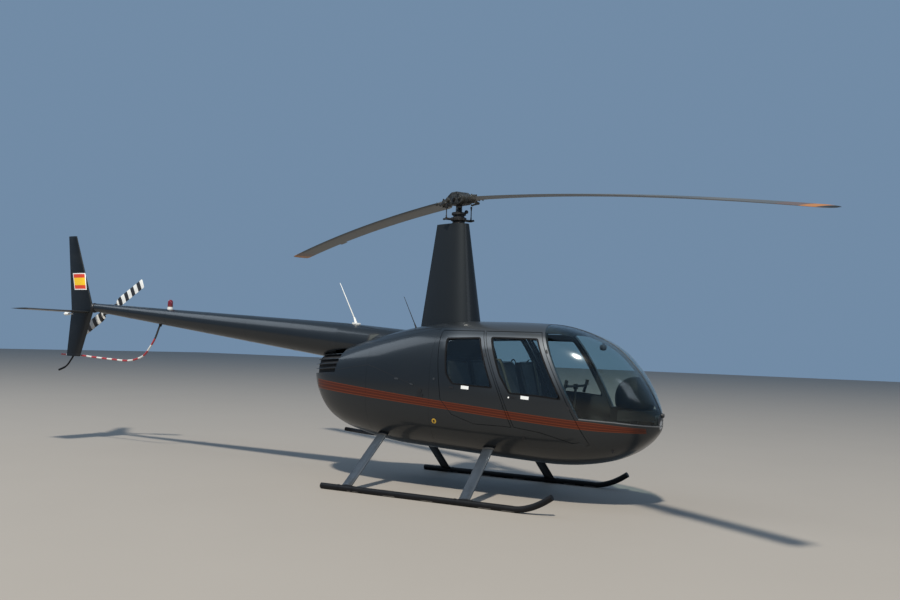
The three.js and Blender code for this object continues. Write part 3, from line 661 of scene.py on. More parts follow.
def add_studio():
    floor = primitive("plane", "floor", size=160, location=(0, 0, -0.001))
    paint = Paint("pale_floor", Roughness=0.75)
    point = paint.point()
    cloud = paint.noise(point, 0.6, 4.0)
    paint.set("Base Color", paint.mix(cloud * 0.4, (0.295, 0.264, 0.233), (0.335, 0.301, 0.266)))
    floor.data.materials.append(paint.material)
    world = bpy.data.worlds.new("sky")
    world.use_nodes = True
    world.node_tree.nodes["Background"].inputs[0].default_value = (0.44, 0.68, 1.0, 1)
    world.node_tree.nodes["Background"].inputs[1].default_value = 0.38
    bpy.context.scene.world = world
    for name, place, size, power, colour in (("key", (12.5, -34, 50), 3.2, 50000, (1.0, 0.955, 0.85)),
            ("side", (16, -4, 7), 6, 260, (0.85, 0.93, 1.0)),
            ("glow", (-18.2, -6.6, 18.4), 12, 1150, (0.80, 0.90, 1.0))):
        data = bpy.data.lights.new(name, "AREA")
        data.size, data.energy, data.color = size, power, colour
        lamp = bpy.data.objects.new(name, data)
        way = Vector((0, 0, 1.0)) - Vector(place)
        turn = way.to_track_quat("-Z", "Y").to_matrix().to_4x4()
        lamp.matrix_world = Matrix.Translation(place) @ turn
        bpy.context.scene.collection.objects.link(lamp)
    bpy.context.scene.view_settings.view_transform = "Standard"


add_camera()
add_studio()


# Cabin and cowls

POST = 1.506  # rear edge of the windshield, at the height where the posts are measured
CORNER, TIP = (leaning(POST, 0.892, FRONT_LEAN), 0.892), (2.45, 0.829)  # ends of its lower edge
WINDSHIELD = [(leaning(POST, 1.9, FRONT_LEAN), 1.9), CORNER, TIP, (2.45, 1.9)]
NOSE = [CORNER, (leaning(POST, 0.5, FRONT_LEAN), 0.5), (2.5, 0.5), TIP]
LAMP_HEIGHT, LAMP_RADIUS = 0.845, 0.06
SEAM = mm("130 1760, -204 1692, -598 1605, -906 1553, -1700 1440")
COWL_JOINT = -0.79
EDGE = BULKHEAD - GAP
CENTRE_POST = 0.014  # half its width, between the windshield panes
BELLY = 0.26  # half the width of the panel below


def half_space(x=(-3, 3), y=(-BESIDE, BESIDE), z=(0, 2.5)):
    return block("space", *zip(x, y, z))


def flank(side, inner):
    """From an inner width to clear of the fuselage, on one side."""
    return (inner, BESIDE) if side > 0 else (-BESIDE, -inner)


def lamp_hole(grow=0.0):
    at = LAMP_HEIGHT
    return rod("hole", (2.2, 0, at), (2.5, 0, at), LAMP_RADIUS + grow, sides=64)


def pitot_hole():
    return rod("hole", (2.36, 0, 0.936), (2.43, 0, 0.936), 0.0254, sides=32)


def nose_rise(grow):
    """The nose panel rises between the panes, round the landing lamp."""
    bar = rod("rise", (2.1, 0, 0.885), (2.6, 0, 0.885), 0.08 + grow, sides=64)
    return union(bar, block("foot", (2.1, -0.08 - grow, 0.7), (2.6, 0.08 + grow, 0.885)))


def line_inside(piece):
    """Gives the faces that look into the cabin a second finish."""
    piece.data.materials.append(FINISH["lining"])
    centre = Vector((CORE[0] + MAST, 0, CORE[2]))
    for face in piece.data.polygons:
        if face.normal.dot((face.center - centre).normalized()) < -0.12:
            face.material_index = 1


def ring_of(outer, inner, outline, wide, narrow, low, high, name):
    """A band of skin along an outline: what lies between the outline moved out and in."""
    band = cut(twin(outer, name), inner, keep=True)
    band = common(band, prism("out", grown(outline, wide), low, high))
    return cut(band, prism("in", grown(outline, -narrow), low, high))


def add_cabin():
    outer, inner = hull("outer"), hull("inner", WALL, 96, 90)
    shell = cut(twin(outer, "shell"), inner, keep=True)
    pane_shell = cut(hull("pane", 0.004), hull("pane_in", 0.010))
    seal_out, seal_in = hull("seal", -0.0012), hull("seal_in", 0.0112)
    cabin = common(twin(shell), half_space(x=(BULKHEAD, 3)))
    tub = common(twin(cabin, "belly_skin"), half_space(z=(0, SILL - 0.0002)))
    upper = common(cabin, half_space(z=(SILL + 0.0002, 2.5)))

    for name, side in SIDES:
        (low, high), (near, far) = flank(side, CENTRE_POST), flank(side, 0)
        upper = cut(upper, cut(prism("screen", WINDSHIELD, low, high), nose_rise(0)))
        room = prism("screen", grown(WINDSHIELD, -FIT), low + FIT, high - FIT)
        pane = common(twin(pane_shell, f"screen_{name}"), cut(room, nose_rise(FIT)))
        dress(pane, "screen", f"windshield_{name}")
        for place, door in DOORS.items():
            body = f"{place}_door_{name}"
            upper = cut(upper, door_room(door, side, SWING, -SWING / 2))
            room = door_room(door, side, 0, SWING / 2)
            leaf = common(twin(shell, f"{place}_door_leaf_{name}"), room)
            window = rounded(door["window"], 0.028)
            leaf = cut(leaf, prism("window", window, near, far))
            dress(leaf, "stripe", f"door_{place}_{name}", body=body)
            line_inside(leaf)
            light = common(twin(pane_shell, f"{place}_door_pane_{name}"),
                prism("light", grown(window, -FIT), near, far))
            dress(light, "glass", f"window_{place}_{name}", body=body)
            # The black band reaches 13 mm in from the window's edge: the rubber seal, and inside it
            # painted shade of the door's inner frame.
            seal = ring_of(seal_out, seal_in, window, 0.003, 0.013, near, far,
                f"{place}_window_seal_{name}")
            dress(seal, "seal", body=body)

    rise = nose_rise(GAP / 2)
    posts = cut(twin(upper, "cabin_frame_skin"), prism("nose", NOSE), rise)
    dress(posts, "frame", "cabin_frame")
    line_inside(posts)
    nose = union(prism("nose", grown(NOSE, -GAP / 2)), nose_rise(0))
    nose = cut(common(nose, upper), lamp_hole(FIT), pitot_hole())
    nose.name = "nose_skin"
    dress(nose, "stripe", "nose_panel")
    line_inside(nose)
    dress(tub, "belly", "cabin_tub")
    line_inside(tub)

    lens = common(cut(hull("lamp_cover"), hull("back", 0.006)), lamp_hole())
    lens = cut(lens, pitot_hole())
    dress(lens, "clear", "landing_lens")
    drop(shell, inner, seal_out, seal_in, pane_shell)
    return outer


def add_cowls(outer):
    fairing = cone("fairing", FAIRING_FRONT, CONE_JOINT, 0, FAIRING_LINES)
    room = cone("room", FAIRING_FRONT - COWL, CONE_JOINT - COWL, COWL, FAIRING_LINES)
    shell = cut(union(outer, fairing), union(hull("inner", COWL, 96, 90), room))
    shell = common(shell, half_space(x=(-2, EDGE)))
    shell = cut(shell, cone("tail", CONE_JOINT, CONE_JOINT - 0.5, -0.002))
    above = prism("above", SEAM + [(-1.7, 2.5), (0.13, 2.5)])
    lowered = [(x, z - GAP) for x, z in SEAM] + mm("-2000 1440, -2000 0, 130 0")
    top = common(twin(shell, "top_cowl_skin"), above)
    dress(top, "roof", "top_cowl")
    below = common(shell, prism("below", lowered))

    aft = common(twin(below, "aft_cowl_skin"), half_space(x=(-2, COWL_JOINT - GAP)))
    spine = half_space(x=(-2, 0), y=(-0.07, 0.07), z=(0, 2))
    for i in range(5):
        z, front = 1.19 + 0.054 * i, -1.29 + 0.014 * i
        top = 0.09 if i == 4 else 0.078
        slot = rounded([(front, z + 0.032), (front + 0.003, z + top), (-1.9, z + top - 0.044),
            (-1.9, z - 0.012)], 0.008)
        aft = cut(aft, cut(prism("slot", slot), spine, keep=True))
    drop(spine)
    dress(aft, "cowl", "aft_cowl")

    sides = common(below, half_space(x=(COWL_JOINT, 1)))
    belly = common(twin(sides, "belly_panel_skin"),
        half_space(x=(-2, 2), y=(-BELLY, BELLY), z=(0, 0.9)))
    opening = block("opening", (-0.69, -0.2, 0), (-0.15, 0.2, 0.9))
    with Editing(opening, "EDGE") as work:
        work.pick(lambda a, b: abs(a.z - b.z) > 0.5)
        work.bevel(0.05, 6)
    dress(cut(belly, opening), "belly", "belly_panel")
    for name, side in SIDES:
        low = half_space(y=flank(side, BELLY + GAP), z=(0, 0.9))
        high = half_space(y=flank(side, 0), z=(0.89, 2.5))
        cowl = common(twin(sides, f"side_cowl_skin_{name}"), union(low, high))
        dress(cowl, "cowl", f"side_cowl_{name}")
    drop(sides)

    bay = cut(hull("engine_bay_baffle", 0.034, 64, 60), hull("in", 0.037, 64, 60))
    bay = common(bay, half_space(x=(-2, -1.15), z=(0.9, 1.42)))
    dress(bay, "black")


# Main rotor

BOLT_HEIGHT, FAIRING_HEIGHT = 3.215, 2.941
TURN, TEETER = math.radians(-30.7), math.radians(1.9)
TURNED = Matrix.Translation((0, 0, BOLT_HEIGHT)) @ Matrix.Rotation(TURN, 4, "Z")
HANGING = TURNED @ Matrix.Rotation(TEETER, 4, "Y")
BLADE_TIP = 5.029
SHAFT = 0.0365


def wing_section(share, thickness):
    """A symmetric aerofoil: place along the chord from the front, and height, round the section."""
    turn = 2 * np.pi * share
    c = (1 - np.cos(turn)) / 2
    bow = 0.2969 * np.sqrt(c) - 0.126 * c - 0.3516 * c**2 + 0.2843 * c**3 - 0.1015 * c**4
    return c, np.sign(np.sin(turn)) * 5 * thickness * np.maximum(bow, 0.004)


def winged(name, rows, side, around=64, along=40, smooth=False):
    """A body with aerofoil sections. A row is a front point, a back point and a thickness."""
    table = np.array([(*front, *back, thick) for front, back, thick in rows], float)
    shares = np.linspace(0, 1, len(rows))

    def place(share, length):
        if smooth:
            row = smooth_rows(table, length)
        else:
            row = np.stack([np.interp(length, shares, table[:, k]) for k in range(7)], 1)
        front, back, thick = row[:, :3], row[:, 3:6], row[:, 6]
        chord = np.linalg.norm(back - front, axis=1)
        c, height = wing_section(share, thick / chord)
        return front + (back - front) * c[:, None] + np.outer(height * chord, side)

    return rolled(name, around, along, place)


def blade_height(r):
    return -0.042 * r - 0.0106 * r**2


def blade_point(r, back, root_pitch, tip_pitch):
    """A point of a blade at a radius and a distance behind the pitch line."""
    turn = math.radians(root_pitch + (tip_pitch - root_pitch) * r / BLADE_TIP)
    return (r, -back * math.cos(turn), blade_height(r) - back * math.sin(turn))


def add_blade(number, pitches):
    shape = [  # radius, chord, thickness
        (0.318, 0.110, 0.066), (0.335, 0.130, 0.060), (0.36, 0.168, 0.050), (0.40, 0.206, 0.040),
        (0.46, 0.240, 0.030), (0.52, 0.254, 0.025), (1.2, 0.254, 0.024), (2.4, 0.254, 0.024),
        (3.6, 0.254, 0.024), (4.7, 0.254, 0.024), (4.95, 0.254, 0.022), (5.01, 0.238, 0.016),
        (5.027, 0.205, 0.008),
    ]
    rows = []
    for (r, chord, thick), (next_r, next_chord, next_thick) in zip(shape, shape[1:] + shape[-1:]):
        for t in np.linspace(0, 1, 8, endpoint=False) if next_r > r else (0,):
            pairs = ((r, next_r), (chord, next_chord), (thick, next_thick))
            at, wide, deep = (a + (b - a) * t for a, b in pairs)
            front = 0.3 * wide
            rows.append((blade_point(at, -front, *pitches), blade_point(at, 0.7 * wide, *pitches),
                deep))
    skin = winged(f"blade_skin_{number}", rows, (0, 0, 1), along=len(rows) - 1, around=56)
    tab = [blade_point(r, back, *pitches) for r in (3.55, 3.75) for back in (0.170, 0.205)]
    flap = primitive("grid", "tab", x_subdivisions=1, y_subdivisions=1, size=1)
    move_points(flap, tab)
    modify(flap, "SOLIDIFY", thickness=0.0022, offset=0)

    grip = rod("grip", (0.195, 0, blade_height(0.195)), (0.33, 0, blade_height(0.33)), 0.048, 0.044, 48,
        0.006)
    bands = [rod("band", (r, 0, blade_height(r)), (r + wide, 0, blade_height(r + wide)), radius,
        sides=48, edge=0.002) for r, wide, radius in ((0.204, 0.018, 0.0500), (0.262, 0.012, 0.0490),
        (0.302, 0.026, 0.0490))]
    bolts = []
    for r in (0.315, 0.385):
        for back in (-0.03, 0.03):
            z = blade_height(r)
            high = 0.052 if r < 0.35 else 0.026
            bolts.append(rod("bolt", (r, back, z - high), (r, back, z + high), 0.009, sides=6,
                edge=0.001))
    for back in (-0.050, 0.0, 0.050):
        z = blade_height(0.43)
        bolts.append(rod("bolt", (0.43, back, z - 0.021), (0.43, back, z + 0.021), 0.007, sides=6,
            edge=0.001))
    arm = rod("arm", (0.25, 0, blade_height(0.25)), (0.245, 0.105, -0.048), 0.016, 0.013, 24, 0.003)
    reach = rod("reach", (0.245, 0.105, -0.048), (0.02, 0.162, -0.045), 0.0135, 0.010, 24, 0.003)
    eye = rod("eye", (0.02, 0.147, -0.045), (0.02, 0.174, -0.045), 0.0105, sides=24, edge=0.002)
    knee = ball("knee", (0.245, 0.105, -0.048), (0.016, 0.016, 0.016), 24)
    root = joined(f"blade_grip_{number}", grip, *bands, *bolts, arm, reach, eye, knee)
    place = HANGING @ Matrix.Rotation(math.pi * (number - 1), 4, "Z")
    blade = joined(f"blade_skin_{number}", skin, flap)
    for piece in (blade, root):
        put(piece, place)
    axis = place.to_3x3() @ Vector((1, 0, 0))
    FINISH[f"blade_{number}"] = blade_paint(f"blade_paint_{number}", axis)
    dress(blade, f"blade_{number}", f"rotor_blade_{number}", body="rotor")
    dress(root, "cast", body="rotor")


def blade_paint(name, axis):
    """Grey paint with warm, lighter patches that are painted light thrown up from the ground, dark at
    the nose and root, brown and orange at the tip.
    """
    paint = Paint(name, Coat_Weight=0.25, Coat_Roughness=0.25)
    x, y, z, point = paint.place()
    out = x * axis.x + y * axis.y + (z - BOLT_HEIGHT) * axis.z
    across = y * axis.x - x * axis.y  # behind or ahead of the blade's long axis
    streak = paint.noise(point, 3.0, 4.0)
    fine = paint.noise(point, 160.0, 2.0)
    # Painted light: warm, lighter patches stand in for light from the ground on the blade's underside.
    base = paint.mix(streak.ease(0.35, 0.7) * 0.6, (0.072, 0.073, 0.068), (0.125, 0.112, 0.090))
    base = paint.mix(fine * 0.2, base, (0.17, 0.16, 0.14))
    base = paint.mix(across.ease(0.030, 0.060), base, (0.022, 0.030, 0.036))
    base = paint.mix(out.ease(4.60, 4.68) * (0.75 + 0.4 * streak), base, (0.10, 0.055, 0.036))
    base = paint.mix(out.ease(4.850, 4.875), base, (0.36, 0.13, 0.010))
    base = paint.mix(out.ease(4.995, 5.0), base, (0.012, 0.014, 0.013))
    base = paint.mix(1 - out.ease(0.38, 0.44), base, (0.05, 0.048, 0.042))
    paint.set("Metallic", 0.3 - 0.3 * out.ease(4.60, 4.68))
    return paint.done(base, 0.40 + 0.15 * streak, fine * 0.0003, 0.5)


def add_rotor_head():
    low = FAIRING_HEIGHT + FIT - BOLT_HEIGHT
    base = turned("swashplate_base", mm("42.6 0, 77.5 0, 77.5 6, 70 9, 68 22, 73 25, 73 28, 42.6 28, "
        "42.6 0"), (0, 0, low), steps=72)
    put(base, TURNED)
    dress(base, "head", "swashplate_fixed")

    shaft = turned("mast_shaft", [(0, low), (SHAFT, low), (SHAFT, -0.098), (0.0345, -0.095),
        (0.0345, -0.088), (SHAFT, -0.085), (SHAFT, -0.072), (0.030, -0.069), (0.030, 0.012),
        (0.026, 0.017), (0, 0.017)])
    pin = rod("pin", (0, -0.077, 0), (0, 0.077, 0), 0.0168, sides=32)
    parts = [shaft, pin]
    for side in (-1, 1):
        parts += rods(("washer", (0, side * 0.0762, 0), (0, side * 0.079, 0), 0.030, 32, 0.0008),
            ("nut", (0, side * 0.079, 0), (0, side * 0.0905, 0), 0.026, 6, 0.0018),
            ("end", (0, side * 0.0905, 0), (0, side * 0.0945, 0), 0.0145, 24, 0.001))
    mast = joined("mast_shaft", *parts)
    put(mast, TURNED)
    dress(mast, "shaft", "rotor_mast", body="mast")

    ring = turned("swashplate_ring", mm("36.9 34, 86 34, 88.5 38, 87.5 66, 84 69, 68 70, 65.5 73, "
        "65.5 80, 62 82, 62 88, 65.5 90, 65.5 96, 78 98, 82.5 102, 81 124, 76 128, 52 129, 50 133, "
        "44 136, 36.9 136, 36.9 34"), (0, 0, low), steps=72)
    parts = [ring, rod("cross", (0, -0.165, low + 0.046), (0, 0.165, low + 0.046), 0.0138, sides=24,
        edge=0.003)]
    for side in (-1, 1):
        y = side * 0.162
        link = turned("link", [(0, low + 0.036), (0.0135, low + 0.036), (0.0135, low + 0.060),
            (0.0075, low + 0.066), (0.0075, low + 0.085), (0.0055, low + 0.090), (0.0055, -0.110),
            (0.0075, -0.105), (0.0075, -0.090), (0.0105, -0.086), (0.0105, -0.064), (0.006, -0.060),
            (0, -0.060)], (0, y, 0), (0, 0, 1), 24)
        side_rod = rod("side_rod", (side * 0.026, y - side * 0.012, low + 0.05),
            (side * 0.020, y - side * 0.012, -0.075), 0.0042, sides=12)
        foot = rod("foot", (0, y, low + 0.046), (side * 0.060, y, low + 0.046), 0.0115, sides=20,
            edge=0.002)
        parts += [link, foot, side_rod]
    parts.append(rod("arm", (0.024, 0.042, low + 0.118), (0.042, 0.074, low + 0.139), 0.0105, sides=20))
    parts.append(ball("ball", (0.042, 0.074, low + 0.139), (0.022, 0.022, 0.022), 32))
    for k in range(8):  # bolts round the ring
        turn = math.radians(45 * k + 22)
        at = (0.079 * math.cos(turn), 0.079 * math.sin(turn))
        parts.append(rod("bolt", (*at, low + 0.066), (*at, low + 0.075), 0.0055, sides=6, edge=0.0008))
    plate = joined("swashplate_ring", *parts)
    put(plate, TURNED)
    dress(plate, "head", "swashplate_turning", body="mast")

    outline = mm("110 -60, 190 -38, 190 22, 110 62, 60 85")
    outline += [(-x, z) for x, z in reversed(outline)]
    yoke = prism("hub_yoke", rounded(outline, 0.014), -0.075, 0.075)
    with Editing(yoke, "EDGE") as work:
        work.pick(lambda a, b: abs(a.y - b.y) < 1e-4)
        work.bevel(0.004, 3)
    yoke = cut(yoke, block("slot", (-0.05, -0.042, -0.1), (0.05, 0.042, 0.034), 0.004),
        rod("bore", (0, -0.2, 0), (0, 0.2, 0), 0.018, sides=48))
    parts = [yoke]
    for x in (-0.125, 0.125):  # coning bolts
        for side in (-1, 1):
            y = side * 0.075
            parts += rods(("washer", (x, y, -0.005), (x, y + side * 0.003, -0.005), 0.027, 32, 0.0008),
                ("nut", (x, y, -0.005), (x, y + side * 0.014, -0.005), 0.022, 6, 0.0018),
                ("end", (x, y, -0.005), (x, y + side * 0.020, -0.005), 0.012, 24, 0.001))
    for x, z in ((-0.085, 0.048), (0.085, 0.048), (0, 0.068), (-0.165, 0.0), (0.165, 0.0)):
        for side in (-1, 1):
            y = side * 0.075
            parts.append(rod("screw", (x, y, z), (x, y + side * 0.005, z), 0.007, sides=6, edge=0.0008))
    hub = joined("hub_yoke", *parts)
    put(hub, HANGING)
    dress(hub, "cast", "rotor_hub", body="rotor")


def add_mast_fairing():
    def shape(name, inset, base=1.65):
        return winged(name, [((0.320 - inset, 0, base - inset / 2),
            (-0.460 + inset, 0, base - inset / 2), 0.45 - 2 * inset),
            ((0.127 - inset, 0, FAIRING_HEIGHT - inset), (-0.276 + inset, 0, FAIRING_HEIGHT - inset),
            0.165 - 2 * inset)], (0, 1, 0), around=96, along=12)

    skin = cut(shape("mast_fairing_skin", 0), shape("room", 0.02), hull("under", -0.0005))
    dress(skin, "fairing", "mast_fairing", angle=30)
    foot = common(shape("fairing_foot", -0.014), hull("band", -0.004))
    foot = cut(foot, hull("band", 0.004), shape("room", 0.004))
    dress(foot, "fairing")


# Tail

TAIL_Z = 1.935  # of the gearbox and the tail rotor
TAIL_ROTOR = (-5.893, 0.28, TAIL_Z)
TAIL_TURN = math.radians(-31)
CONE_FRAMES = (-1.515, -2.24, -2.97, -3.70, -4.43, -5.16, -5.82)  # riveted rings of the tail cone


def cone_line(line, x):
    return line[0] + line[1] * (CONE_JOINT - x)


def measured(piece, route):
    """Stores on each point how far along a route it lies, for stripes round a bent tube."""
    line = np.array(route, float)
    legs = np.linalg.norm(np.diff(line, axis=0), axis=1)
    starts = np.concatenate([[0], np.cumsum(legs)])
    points = points_of(piece)
    best, along = np.full(len(points), 9.0), np.zeros(len(points))
    for i, leg in enumerate(legs):
        way = (line[i + 1] - line[i]) / leg
        share = np.clip((points - line[i]) @ way, 0, leg)
        far = np.linalg.norm(points - line[i] - np.outer(share, way), axis=1)
        near = far < best
        best[near], along[near] = far[near], (starts[i] + share)[near]
    piece.data.attributes.new("along", "FLOAT", "POINT").data.foreach_set("value", along)
    return piece


def banded(name, base, bands, rough=0.35, **constants):
    """Paint in bands along a route: each band is its start, its end and its colour."""
    paint = Paint(name, Coat_Weight=0.4, Coat_Roughness=0.15, **constants)
    point = paint.point()
    along = paint.add("ShaderNodeAttribute", dict(attribute_name="along"), out="Fac")
    grime = paint.noise(point, 22.0, 4.0)
    colour = base
    for start, end, tone in bands:
        colour = paint.mix(along.within(start, end), colour, tone)
    colour = paint.mix(grime.ease(0.5, 0.85) * 0.35, colour, (0.10, 0.09, 0.08))
    return paint.done(colour, rough + 0.25 * grime, grime * 0.0006, 0.4)


def cone_rivets(paint, x, y, z):
    """A row of rivets on either side of each frame of the tail cone, and a groove between them."""
    middle = (CONE_TOP[0] + CONE_BOTTOM[0]) / 2 + (CONE_TOP[1] + CONE_BOTTOM[1]) / 2 * (CONE_JOINT - x)
    turn = paint.add("ShaderNodeMath", dict(operation="ARCTAN2"), z - middle, y)
    total = 0.0
    spaced = abs((turn * 9.0).remainder(1.0) - 0.5)
    for at in CONE_FRAMES:
        for side in (-0.014, 0.014):
            total = total + (abs(x - (at + side)) + spaced * 0.02 < 0.0042)
        total = total - 0.5 * (abs(x - at) < 0.0012)
    return total * 0.0012


def add_tail():
    shell = cone("tail_cone_skin", CONE_JOINT - FIT, CONE_END, 0, around=128, along=8)
    room = cone("room", CONE_JOINT + 0.01, CONE_END - 0.03, 0.012)
    shell = cut(shell, room)
    dress(shell, "cone", "tail_cone")
    for at in CONE_FRAMES[1:-1]:  # joint straps
        strap = cut(cone("tail_cone_strap", at + 0.024, at - 0.024, -0.0008),
            cone("in", at + 0.03, at - 0.03, 0.0002))
        dress(strap, "cone")

    z = TAIL_Z + 0.005
    case = turned("gearbox_case", mm("0 0.4, 61 0.4, 61 6, 56 9, 56 18, 64 24, 69 34, 70 52, 64 60, "
        "0 63.6"), (CONE_END, 0, z), (-1, 0, 0), 56)
    sleeve = turned("sleeve", mm("0 0, 34 0, 34 55, 36 58, 36 70, 29 74, 29 120, 32.5 124, 32.5 146, "
        "29 150, 0 150"), (TAIL_ROTOR[0], 0, TAIL_Z), (0, 1, 0), 48)
    parts = [case, sleeve]
    for k in range(10):
        turn = math.radians(36 * k)
        y, up = 0.0585 * math.cos(turn), 0.0585 * math.sin(turn)
        parts.append(rod("bolt", (CONE_END - 0.001, y, z + up), (CONE_END - 0.012, y, z + up), 0.005,
            sides=6, edge=0.0008))
    for k in range(5):  # cooling ribs
        parts.append(turned("rib", [(0.030, 0.072 + 0.009 * k), (0.037, 0.073 + 0.009 * k),
            (0.037, 0.076 + 0.009 * k), (0.030, 0.077 + 0.009 * k)], (TAIL_ROTOR[0], 0, TAIL_Z),
            (0, 1, 0), 48))
    parts.append(rod("plug", (CONE_END - 0.045, 0, z + 0.055), (CONE_END - 0.045, 0, z + 0.070), 0.012,
        sides=6))
    dress(joined("gearbox_case", *parts), "gearbox", "tail_gearbox")

    back = CONE_END - 0.0644
    upper = winged("fin_upper_skin", [((back, 0, 1.9154), (-6.386, 0, 1.9154), 0.062),
        ((-6.358, 0, 2.985), (-6.527, 0, 2.985), 0.026)], (0, 1, 0), around=112, along=10)
    dress(upper, "fin", "fin_upper", angle=30)
    cap = winged("fin_cap", [((-6.351, 0, 2.950), (-6.522, 0, 2.950), 0.0288),
        ((-6.3585, 0, 2.9849), (-6.5265, 0, 2.9849), 0.0274)], (0, 1, 0), around=96, along=2)
    dress(cap, "cone")

    def lower_fin(name, grow, around=112):
        return winged(name, [((back, 0, 1.915), (-6.386, 0, 1.915), 0.062 + grow),
            ((-6.155, 0, 1.24), (-6.44, 0, 1.24), 0.034 + grow)], (0, 1, 0), around=around, along=8)

    dress(lower_fin("fin_lower_skin", 0), "fin", "fin_lower", angle=30)
    rib = common(lower_fin("fin_seam", 0.0018), block("band", (-6.6, -0.1, 1.262), (-5.8, 0.1, 1.276)))
    dress(rib, "cone")

    plane = winged("stabiliser_skin", [((-5.990, -0.010, 1.880), (-6.430, -0.010, 1.880), 0.034),
        ((-6.000, -0.955, 1.880), (-6.405, -0.955, 1.880), 0.027),
        ((-6.010, -0.985, 1.880), (-6.400, -0.985, 1.880), 0.020)], (0, 0, 1), around=112, along=16)
    dress(cut(plane, lower_fin("room", 0.0008)), "plane", "stabiliser", angle=30)

    bend = mm("-6300 0 1238, -6330 0 1200, -6440 0 1090, -6590 0 1030")
    skid = common(tube("tail_skid_bow", bend, 0.012, 24, 12),
        block("below", (-7, -0.05, 0), (0, 0.05, 1.2396)))
    shoe = tube("shoe", mm("-6470 0 1073.5, -6530 0 1051, -6589 0 1030.2"), 0.0145, 24, 8)
    dress(joined("tail_skid_bow", skid, shoe), "skid", "tail_skid", slot="black_metal")

    arm = rod("arm", (-6.30, 0, 1.850), (-6.436, 0, 1.850), 0.009, sides=20)
    base = turned("base", mm("0 0, 16 0, 20 6, 20 60, 24 66, 26 70, 26 74, 0 74"), (-6.430, 0, 1.850),
        (-1, 0, 0), 40)
    holder = cut(joined("tail_lamp_holder", arm, base), lower_fin("room", 0.0008))
    dress(holder, "white", "tail_lamp")
    lens = turned("tail_lamp_lens", mm("0 74.2, 24 74.2, 24 86, 21 98, 13 106, 0 109"),
        (-6.430, 0, 1.850), (-1, 0, 0), 40)
    dress(lens, "lens")

    route = mm("-4560 0 1765, -4599 2 1704, -4682 6 1531, -4769 10 1417, -4880 15 1302, -5021 22 1245, "
        "-5215 30 1213, -5515 40 1219, -5900 48 1236, -6191 48 1253, -6610 48 1260")
    guard = tube("guard_tube", route, 0.013, 28, 12)
    guard = cut(guard, cone("room", CONE_JOINT, CONE_END, -FIT))
    bridge = rod("bridge", (-6.33, 0.012, 1.2565), (-6.33, 0.048, 1.2555), 0.008, sides=16)
    guard = measured(joined("guard_tube", guard, cut(bridge, lower_fin("room", 0.0008))), route)
    dress(guard, "guard", "rotor_guard")
    low = cone_line(CONE_BOTTOM, -4.60)
    socket = rod("guard_socket", (-4.590, 0, low - 0.032), (-4.575, 0, low + 0.02), 0.018, 0.026, 32,
        0.002)
    socket = cut(socket, cone("room", CONE_JOINT, CONE_END, -0.0002),
        tube("bore", route, 0.0134, 28, 12))
    dress(socket, "skid", slot="black_metal")

    at = -4.418
    top = cone_line(CONE_TOP, at)
    lamp = turned("beacon_lens", mm("0 30, 34 30, 35.5 34, 35.5 88, 33.5 104, 27 118, 16 126.5, "
        "7 128.5, 0 129"), (at, 0, top), (0, 0, 1), 48)
    dress(lamp, "beacon", "beacon")
    foot = turned("beacon_base", mm("0 -8, 37 -8, 37 12, 35.5 20, 35.5 29.8, 0 29.8"), (at, 0, top),
        (0, 0, 1), 48)
    dress(cut(foot, cone("room", CONE_JOINT, CONE_END, -0.0002)), "white")

    under = union(hull("under", -FIT), cone("cone", FAIRING_FRONT, CONE_JOINT, -FIT, FAIRING_LINES))
    foot = rod("foot", (-1.345, 0, 1.760), (-1.375, 0, 1.850), 0.024, 0.012, 32, 0.002)
    pad = prism("pad", rounded(mm("-1300 1740, -1300 1798, -1395 1806, -1395 1740"), 0.01), -0.021,
        0.021)
    collar = rod("collar", (-1.3725, 0, 1.842), (-1.385, 0, 1.866), 0.0115, 0.0095, 24, 0.001)
    whip = rod("whip", (-1.372, 0, 1.840), (-1.611, 0, 2.280), 0.0085, 0.0038, 20, 0.001)
    rear = cut(joined("antenna_rear_whip", foot, pad, collar, whip), under, keep=True)
    dress(rear, "white", "antenna_rear")
    foot = rod("foot", (-0.490, 0, 1.690), (-0.515, 0, 1.770), 0.021, 0.010, 32, 0.002)
    coil = rod("coil", (-0.512, 0, 1.760), (-0.535, 0, 1.806), 0.0085, 0.0075, 20, 0.001)
    whip = rod("whip", (-0.512, 0, 1.760), (-0.690, 0, 2.115), 0.0055, 0.0028, 16)
    front = cut(joined("antenna_front_whip", foot, coil, whip), under)
    dress(front, "black", "antenna_front", slot="black_plastic")


